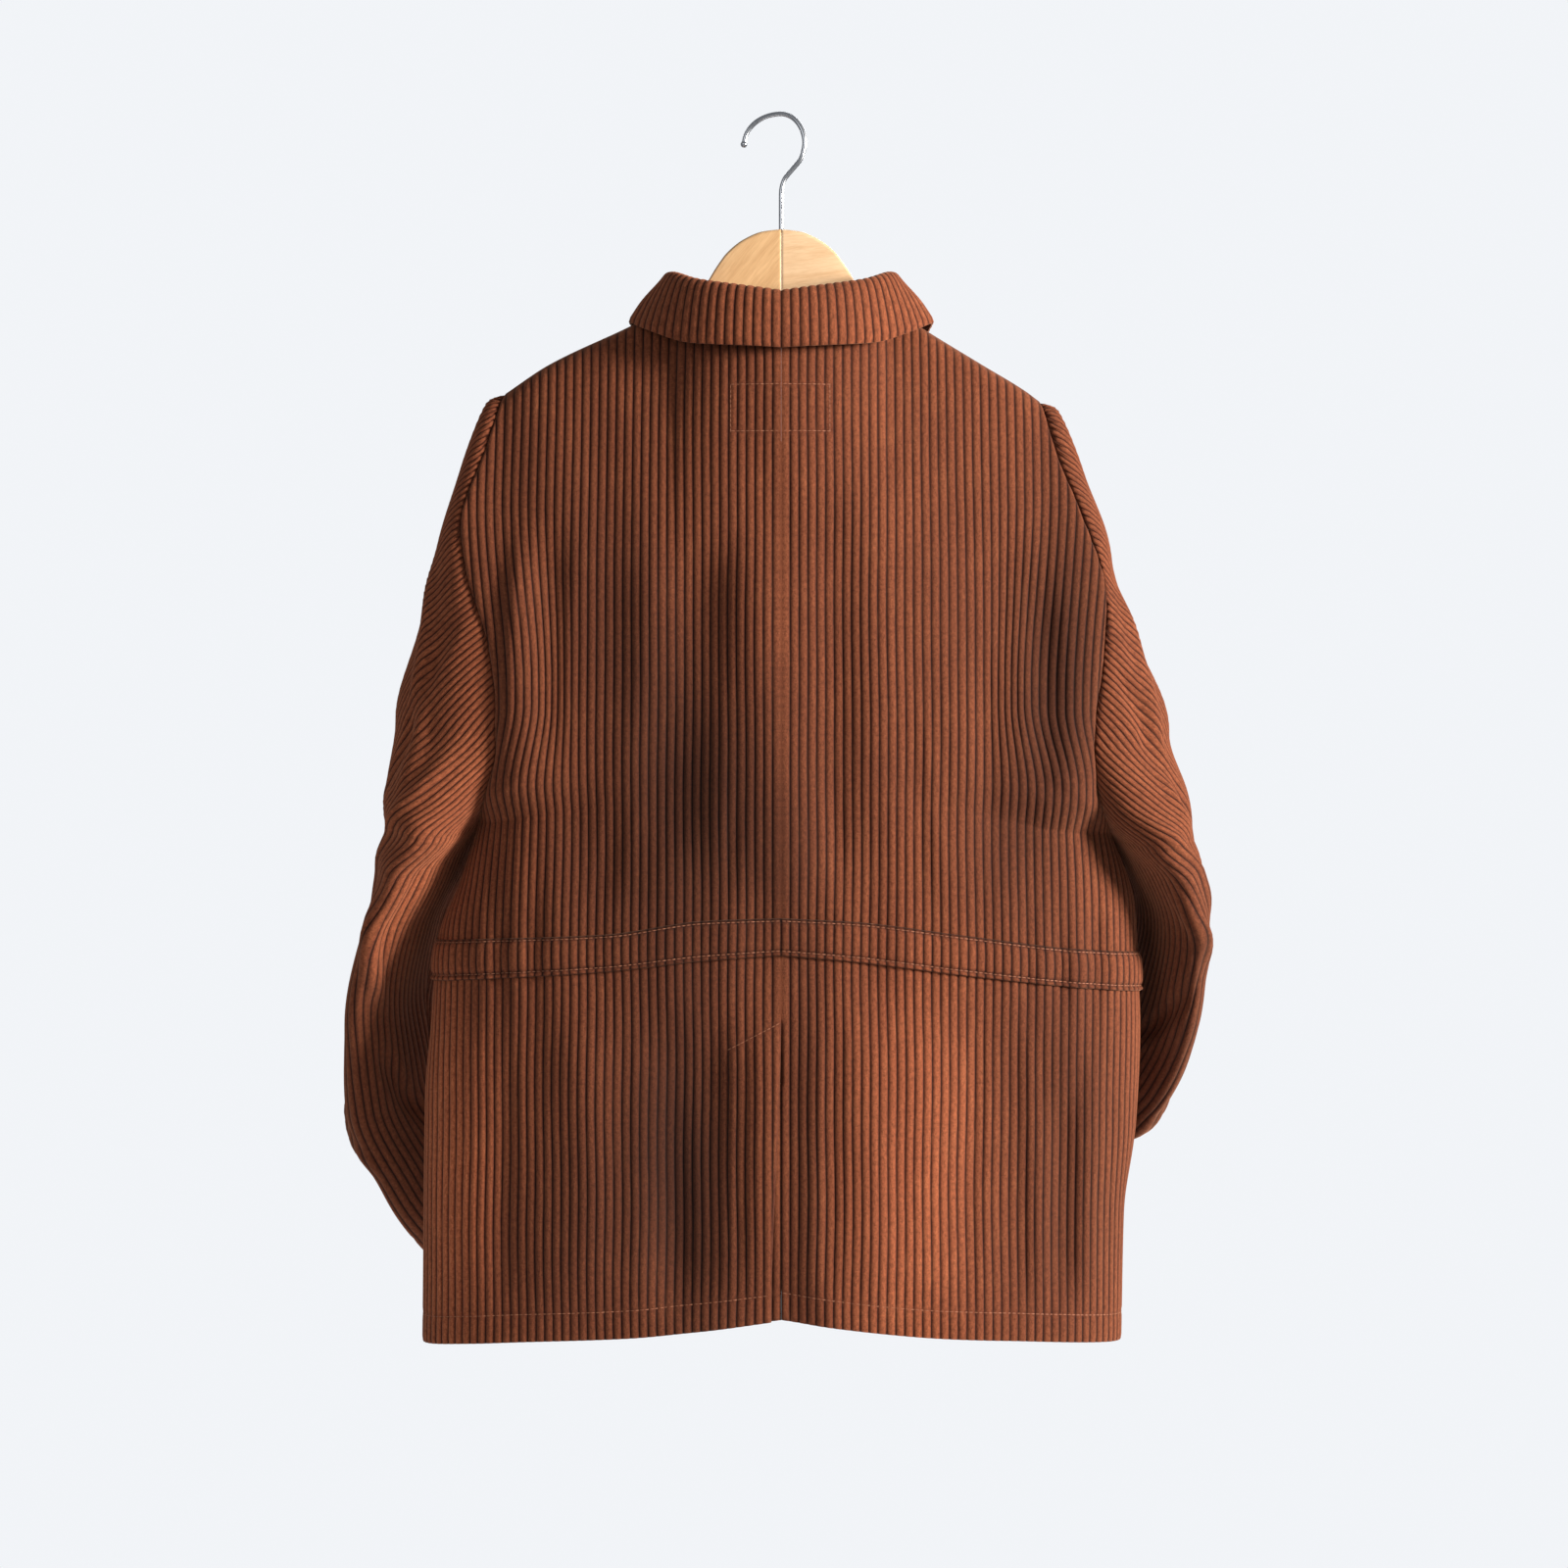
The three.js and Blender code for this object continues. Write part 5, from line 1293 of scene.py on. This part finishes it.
def hook(name):
    centre = WIRE / 2 - HOOK_TALL
    turn = np.linspace(math.pi, 0, HOOK_STEPS["crook"])
    reach = np.where(turn > math.pi / 2, HOOK_REACH["left"], HOOK_REACH["right"])
    route = np.stack([reach * np.cos(turn), centre + HOOK_TALL * np.sin(turn)], axis=-1)
    knots = np.concatenate([
        [[HOOK_REACH["right"], centre]],
        np.stack([HOOK_REACH["right"] * HOOK_RETURN["share"], centre - HOOK_RETURN["drop"]], -1),
        [[0, (centre + HOOK_FOOT) / 2], [0, HOOK_FOOT]]])
    drops = {"z": knots[:, 1], "x": knots[:, 0]}
    z = np.linspace(centre, HOOK_FOOT, HOOK_STEPS["shank"])[1:]
    route = np.concatenate([route, np.stack([curve(drops, "z", "x", z), z], axis=-1)])
    for _ in range(HOOK_EASED):
        route[1:-1] = (route[:-2] + 2 * route[1:-1] + route[2:]) / 4
    route = np.stack([route[:, 0], 0 * route[:, 0], route[:, 1]], axis=-1)
    wire = tube(name, route, WIRE / 2, (0, 1, 0), AROUND["wire"])
    ball = [(HOOK_BALL * math.sin(t), -HOOK_BALL * math.cos(t))
            for t in np.linspace(0, math.pi, HOOK_STEPS["ball"])]
    return wire, lathe(name + "_tip", ball, route[0], (0, 0, 1), AROUND["ball"])


def lathe(name, profile, place, axis, around):
    """A turned body: profile is radius and height along the axis, from end to end."""
    axis = unit(np.array(axis, float))
    across = unit(np.cross(axis, (1, 0, 0)))
    other = np.cross(axis, across)
    rings = []
    for radius, height in profile:
        radius = max(radius, 1e-3)
        rings.append([
            place + axis * height + radius * (across * math.cos(a) + other * math.sin(a))
            for a in turns(around)])
    return loft(name, rings)


def tube(name, route, radius, across, around):
    """A round wire or thread along a route that runs at an angle to the line across."""
    ahead = unit(np.gradient(route, axis=0))
    aside = unit(np.cross(ahead, across))
    other = np.cross(ahead, aside)
    rings = [
        [p + radius * (a * math.cos(t) + b * math.sin(t)) for t in turns(around)]
        for p, a, b in zip(route, aside, other)]
    return loft(name, rings)


def button(number, z):
    row = row_at("front", "left", (0.0,), (z,), ROW_STEPS["button"])
    normal = body_normal("front", "left", np.zeros((1, 1)), row)[0, 0]
    place = body_point("front", "left", np.zeros((1, 1)), row)[0, 0] + normal * (RIB + BUTTON_LIFT)
    profile = [(BUTTON_RADIUS - away, rise) for away, rise in BUTTON_FOOT]
    profile += [(BUTTON_RADIUS - away, BUTTON_THICK - drop) for away, drop in BUTTON_TOP]
    made = [lathe(f"button_{number}_disc", profile, place, normal, AROUND["button"])]
    across = np.array([1.0, 0.0, 0.0])
    up = unit(np.cross(across, normal))
    floor = place + normal * profile[-1][1]
    for i, (a, b) in enumerate(((1, 1), (-1, 1), (-1, -1), (1, -1)), 1):
        centre = floor + (across * a + up * b) * HOLE_APART
        # a dark disc painted as the shade in each hole
        made.append(lathe(f"button_{number}_hole_{i}", HOLE_SHADE_DISC, centre, normal, AROUND["hole"]))
    for i, a in enumerate((1, -1), 1):
        route = np.array([floor + across * HOLE_APART * a + up * b + normal * h for b, h in THREAD])
        name = f"button_{number}_thread_{i}"
        made.append(tube(name, route, THREAD_HALF, (1, 0, 0), AROUND["thread"]))
    return made


# Materials


class Graph:
    """Short names for adding and joining a material's nodes."""

    def __init__(self, name):
        self.material = bpy.data.materials.new(name)
        self.material.use_nodes = True
        self.tree = self.material.node_tree
        self.shader = self.tree.nodes["Principled BSDF"]

    def add(self, kind, links=None, **settings):
        node = self.tree.nodes.new(kind)
        for key, value in settings.items():
            if key in node.inputs:
                node.inputs[key].default_value = value
            else:
                setattr(node, key, value)
        for key, source in (links or {}).items():
            self.tree.links.new(source, node.inputs[key])
        return node

    def feed(self, socket, value):
        """Join a socket to another one, or give it a value."""
        if isinstance(value, bpy.types.NodeSocket):
            self.tree.links.new(value, socket)
        else:
            socket.default_value = value

    def math(self, operation, a, b):
        node = self.add("ShaderNodeMath", operation=operation)
        self.feed(node.inputs[0], a)
        self.feed(node.inputs[1], b)
        return node.outputs[0]

    def stretched(self, source, scale):
        node = self.add("ShaderNodeVectorMath", operation="MULTIPLY")
        self.feed(node.inputs[0], source)
        self.feed(node.inputs[1], scale)
        return node.outputs[0]

    def noise(self, vector, scale, detail=3.0, roughness=0.55):
        values = {"Scale": scale, "Detail": detail, "Roughness": roughness}
        return self.add("ShaderNodeTexNoise", {"Vector": vector}, **values).outputs["Fac"]

    def ramp(self, fac, stops):
        node = self.add("ShaderNodeValToRGB", {"Fac": fac})
        marks = node.color_ramp.elements
        while len(marks) < len(stops):
            marks.new(0.5)
        for mark, (at, colour) in zip(marks, stops):
            mark.position = at
            mark.color = (*colour, 1)
        return node.outputs["Color"]

    def mix(self, kind, fac, a, b):
        node = self.add("ShaderNodeMix", data_type="RGBA", blend_type=kind)
        for i, value in ((0, fac), (6, a), (7, b)):
            self.feed(node.inputs[i], (*value, 1) if isinstance(value, tuple) else value)
        return node.outputs[2]

    def set(self, **values):
        for key, value in values.items():
            self.shader.inputs[key.replace("_", " ")].default_value = value

    def join(self, socket, source):
        self.tree.links.new(source, self.shader.inputs[socket])


# Painted light and shade across a wale, by its height: darkest in a groove, lit on a crest
GROOVE_SHADED = (0.022, 0.0058, 0.0028)
SLOPE_SHADED = (0.098, 0.0230, 0.0097)
CREST_LIT = (0.200, 0.054, 0.0215)
PILE_LIGHT = (0.31, 0.103, 0.043)
PILE_DARK = (0.085, 0.0205, 0.0088)
INSIDE = (0.095, 0.032, 0.018)


def corduroy(name):
    g = Graph(name)
    wale = g.add("ShaderNodeAttribute", attribute_name="wale").outputs["Fac"]
    place = g.add("ShaderNodeAttribute", attribute_name="cloth").outputs["Vector"]
    # painted shade in the grooves and painted light on the crests
    body = g.ramp(wale, ((0.0, GROOVE_SHADED), (0.42, SLOPE_SHADED), (0.9, CREST_LIT)))
    streaks = g.noise(g.stretched(place, (0.42, 0.035, 1)), 1.0, 4.0, 0.6)
    patches = g.noise(g.stretched(place, (0.020, 0.010, 1)), 1.0, 3.0, 0.55)
    fibres = g.noise(g.stretched(place, (2.4, 0.9, 1)), 1.0, 2.0, 0.7)
    lighter = g.ramp(streaks, ((0.50, (0, 0, 0)), (0.72, (0.32, 0.32, 0.32))))
    body = g.mix("MIX", lighter, body, PILE_LIGHT)
    darker = g.ramp(patches, ((0.36, (0.34, 0.34, 0.34)), (0.62, (0, 0, 0))))
    body = g.mix("MIX", darker, body, PILE_DARK)
    mottle = g.noise(g.stretched(place, (0.55, 0.30, 1)), 1.0, 3.0, 0.7)
    uneven = g.ramp(mottle, ((0.32, (0.66, 0.64, 0.62)), (0.68, (1.34, 1.36, 1.36))))
    body = g.mix("MULTIPLY", 1.0, body, uneven)
    speck = g.ramp(fibres, ((0.32, (0.64, 0.64, 0.64)), (0.68, (1.34, 1.34, 1.34))))
    body = g.mix("MULTIPLY", 1.0, body, speck)
    # more painted shade, darkest in the grooves
    deep = g.ramp(wale, ((0.0, (0.16, 0.15, 0.15)), (0.32, (0.8, 0.8, 0.8)), (0.5, (1, 1, 1))))
    body = g.mix("MULTIPLY", 1.0, body, deep)
    # painted shade and light: the colour darkened or lightened by the shade attribute
    shade = g.add("ShaderNodeAttribute", attribute_name="shade").outputs["Fac"]
    body = g.mix("MULTIPLY", 1.0, body, g.math("ADD", shade, 1.0))
    inside = g.add("ShaderNodeSeparateXYZ", {"Vector": place}).outputs["Z"]
    body = g.mix("MIX", inside, body, INSIDE)
    g.join("Base Color", body)
    bump = g.add("ShaderNodeBump", {"Height": fibres}, Strength=0.5, Distance=0.0006)
    g.join("Normal", bump.outputs["Normal"])
    rough = g.math("ADD", g.math("MULTIPLY", streaks, 0.12), 0.82)
    g.join("Roughness", rough)
    g.set(Sheen_Weight=0.35, Sheen_Roughness=0.45, Sheen_Tint=(0.95, 0.44, 0.25, 1))
    g.set(Specular_IOR_Level=0.18)
    return g.material


def wood(name, light, dark, turn):
    g = Graph(name)
    place = g.add("ShaderNodeTexCoord").outputs["Object"]
    turned = g.add("ShaderNodeMapping", {"Vector": place}, Rotation=(0, turn, 0), Scale=(1, 1, 1))
    grain = g.noise(g.stretched(turned.outputs[0], (14, 60, 190)), 1.0, 4.0, 0.6)
    fine = g.noise(g.stretched(turned.outputs[0], (120, 400, 1500)), 1.0, 2.0, 0.6)
    base = g.ramp(grain, ((0.3, dark), (0.6, light)))
    base = g.mix("MULTIPLY", 1.0, base, g.ramp(fine, ((0.35, (0.9, 0.88, 0.85)), (0.6, (1, 1, 1)))))
    g.join("Base Color", base)
    bump = g.add("ShaderNodeBump", {"Height": fine}, Strength=0.2, Distance=0.0002)
    g.join("Normal", bump.outputs["Normal"])
    g.set(Roughness=0.42, Coat_Weight=0.2, Coat_Roughness=0.3)
    return g.material


def plain(name, colour, roughness, metallic=0.0, grain=90.0, depth=0.00008):
    g = Graph(name)
    place = g.add("ShaderNodeTexCoord").outputs["Object"]
    spots = g.noise(place, grain, 4.0, 0.6)
    dark = tuple(c * 0.82 for c in colour)
    g.join("Base Color", g.ramp(spots, ((0.3, dark), (0.7, colour))))
    g.join("Roughness", g.math("ADD", g.math("MULTIPLY", spots, 0.12), roughness - 0.06))
    bump = g.add("ShaderNodeBump", {"Height": spots}, Strength=0.3, Distance=depth)
    g.join("Normal", bump.outputs["Normal"])
    g.set(Metallic=metallic)
    return g.material


MATERIALS = {
    "corduroy": corduroy("corduroy"),
    "thread": plain("thread", (0.32, 0.110, 0.048), 0.7, grain=2500.0),
    "button": plain("button", (0.050, 0.022, 0.013), 0.32),
    # near-black painted shade for a button's holes
    "hole": plain("hole", (0.012, 0.006, 0.004), 0.8),
    "wood_left": wood("wood_left", (0.80, 0.49, 0.235), (0.66, 0.375, 0.165), 0.9),
    "wood_right": wood("wood_right", (0.84, 0.565, 0.325), (0.74, 0.46, 0.24), 0.12),
    "steel": plain("steel", (0.62, 0.63, 0.65), 0.26, metallic=1.0),
}


def dress(piece, material, slot, *nodes):
    piece.data.materials.clear()
    piece.data.materials.append(MATERIALS[material])
    if nodes:
        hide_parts(*nodes)
    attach(piece, "root")
    return piece


def vent_start(side):
    drawn = VENT_LEAN if side == "left" else 0
    return lambda rows: drawn * smooth((rows - VENT_TOP) / (3 - VENT_TOP))


def dress_cloth(pieces, node, piece):
    pieces[node] = dress(piece, "corduroy", "corduroy", node)


def build():
    pieces = {}
    for side in ("left", "right"):
        rows = body_rows()
        back = panel(f"cloth_back_{side}", "back", side, rows, vent_start(side), extra=back_press)
        dress_cloth(pieces, f"back_{side}", back)
        coarse = np.unique(np.append(rows[::2], [0, ARMPIT, 3]))
        front = panel(f"cloth_front_{side}", "front", side, coarse, lambda r: 0 * r - FRONT_OVERLAP)
        dress_cloth(pieces, f"front_{side}", front)
        dress_cloth(pieces, f"sleeve_{side}", sleeve(f"cloth_sleeve_{side}", side))
        half = hanger_half(f"wood_{side}", side)
        dress(half, f"wood_{side}", "wood", f"hanger_{side}")
    rows = np.linspace(VENT_ROW, 3, LAP_ROWS)
    lap = panel("cloth_vent_underlap", "back", "right", rows, lambda r: 0 * r - UNDERLAP, -SEAM)
    dress_cloth(pieces, "vent_underlap", lap)
    dress_cloth(pieces, "waist_channel", casing("cloth_waist_casing"))
    dress_cloth(pieces, "collar", collar("cloth_collar"))
    vent = VENT_LEAN + HEM_LINE["vent_left"], HEM_LINE["vent_right"]
    front = HEM_LINE["front"] - FRONT_OVERLAP, HEM_LINE["front"] + FRONT_OVERLAP
    sewn = {
        "back": [hem_line("back", side, first) for side, first in zip(SIDES, vent)],
        "front": [hem_line("front", side, first) for side, first in zip(SIDES, front)],
        "waist": casing_lines()}
    for line in back_stitch_lines():
        sewn["back"] += flat_line(*line)
    for key, lines in sewn.items():
        name = f"stitches_{key}"
        pieces[name] = dress(stitches(name, lines), "thread", "corduroy")
    wire, tip = hook("hook_wire")
    dress(wire, "steel", "steel", "hook")
    dress(tip, "steel", "steel")
    for number, z in enumerate(BUTTON_HEIGHTS, 1):
        for piece in button(number, z):
            kind = piece.name.split("_")[2]
            material = {"disc": "button", "hole": "hole", "thread": "thread"}[kind]
            dress(piece, material, "button", *([f"button_{number}"] if kind == "disc" else []))
    return pieces


# Room and light

FLOOR = {"z": -1.35, "radius": 1.15, "sides": 96, "colour": (0.86, 0.87, 0.89)}
ROOM = {"colour": (0.86, 0.90, 0.96, 1), "strength": 0.24}  # as it lights the jacket
BACKDROP = {"colour": (0.885, 0.905, 0.935, 1), "strength": 1.0}  # as the camera sees it


def add_stage():
    bpy.ops.mesh.primitive_circle_add(
        vertices=FLOOR["sides"], radius=FLOOR["radius"], fill_type="NGON",
        location=(0, 0, FLOOR["z"]))
    floor = bpy.context.object
    floor.name = "floor"
    floor.data.materials.append(plain("floor_paint", FLOOR["colour"], 0.8, grain=3.0))
    world = bpy.data.worlds.new("room")
    world.use_nodes = True
    bpy.context.scene.world = world
    nodes, links = world.node_tree.nodes, world.node_tree.links
    mix = nodes.new("ShaderNodeMixShader")
    links.new(nodes.new("ShaderNodeLightPath").outputs["Is Camera Ray"], mix.inputs[0])
    backs = nodes["Background"], nodes.new("ShaderNodeBackground")
    for i, (node, look) in enumerate(zip(backs, (ROOM, BACKDROP)), 1):
        node.inputs["Color"].default_value = look["colour"]
        node.inputs["Strength"].default_value = look["strength"]
        links.new(node.outputs[0], mix.inputs[i])
    links.new(mix.outputs[0], nodes["World Output"].inputs["Surface"])


AIM = (0, 0, -0.5)
LIGHTS = (
    {"name": "key", "place": (2.75, -1.35, 0.2), "size": 0.9, "watts": 215, "colour": (1.0, 0.97, 0.93)},
    {"name": "fill", "place": (-1.6, -2.6, 0.3), "size": 1.8, "watts": 14, "colour": (0.93, 0.96, 1.0)},
    {"name": "rim", "place": (0.4, 2.4, 0.6), "size": 1.6, "watts": 45, "colour": (0.97, 0.98, 1.0)},
)


def add_lights():
    for entry in LIGHTS:
        data = bpy.data.lights.new(entry["name"], "AREA")
        data.shape = "DISK"
        data.size = entry["size"]
        data.energy = entry["watts"]
        data.color = entry["colour"]
        light = bpy.data.objects.new(entry["name"], data)
        light.location = entry["place"]
        way = Vector(AIM) - Vector(entry["place"])
        light.rotation_euler = way.to_track_quat("-Z", "Y").to_euler()
        bpy.context.scene.collection.objects.link(light)


pieces = build()
add_stage()
add_lights()
bpy.context.scene.view_settings.view_transform = "Standard"
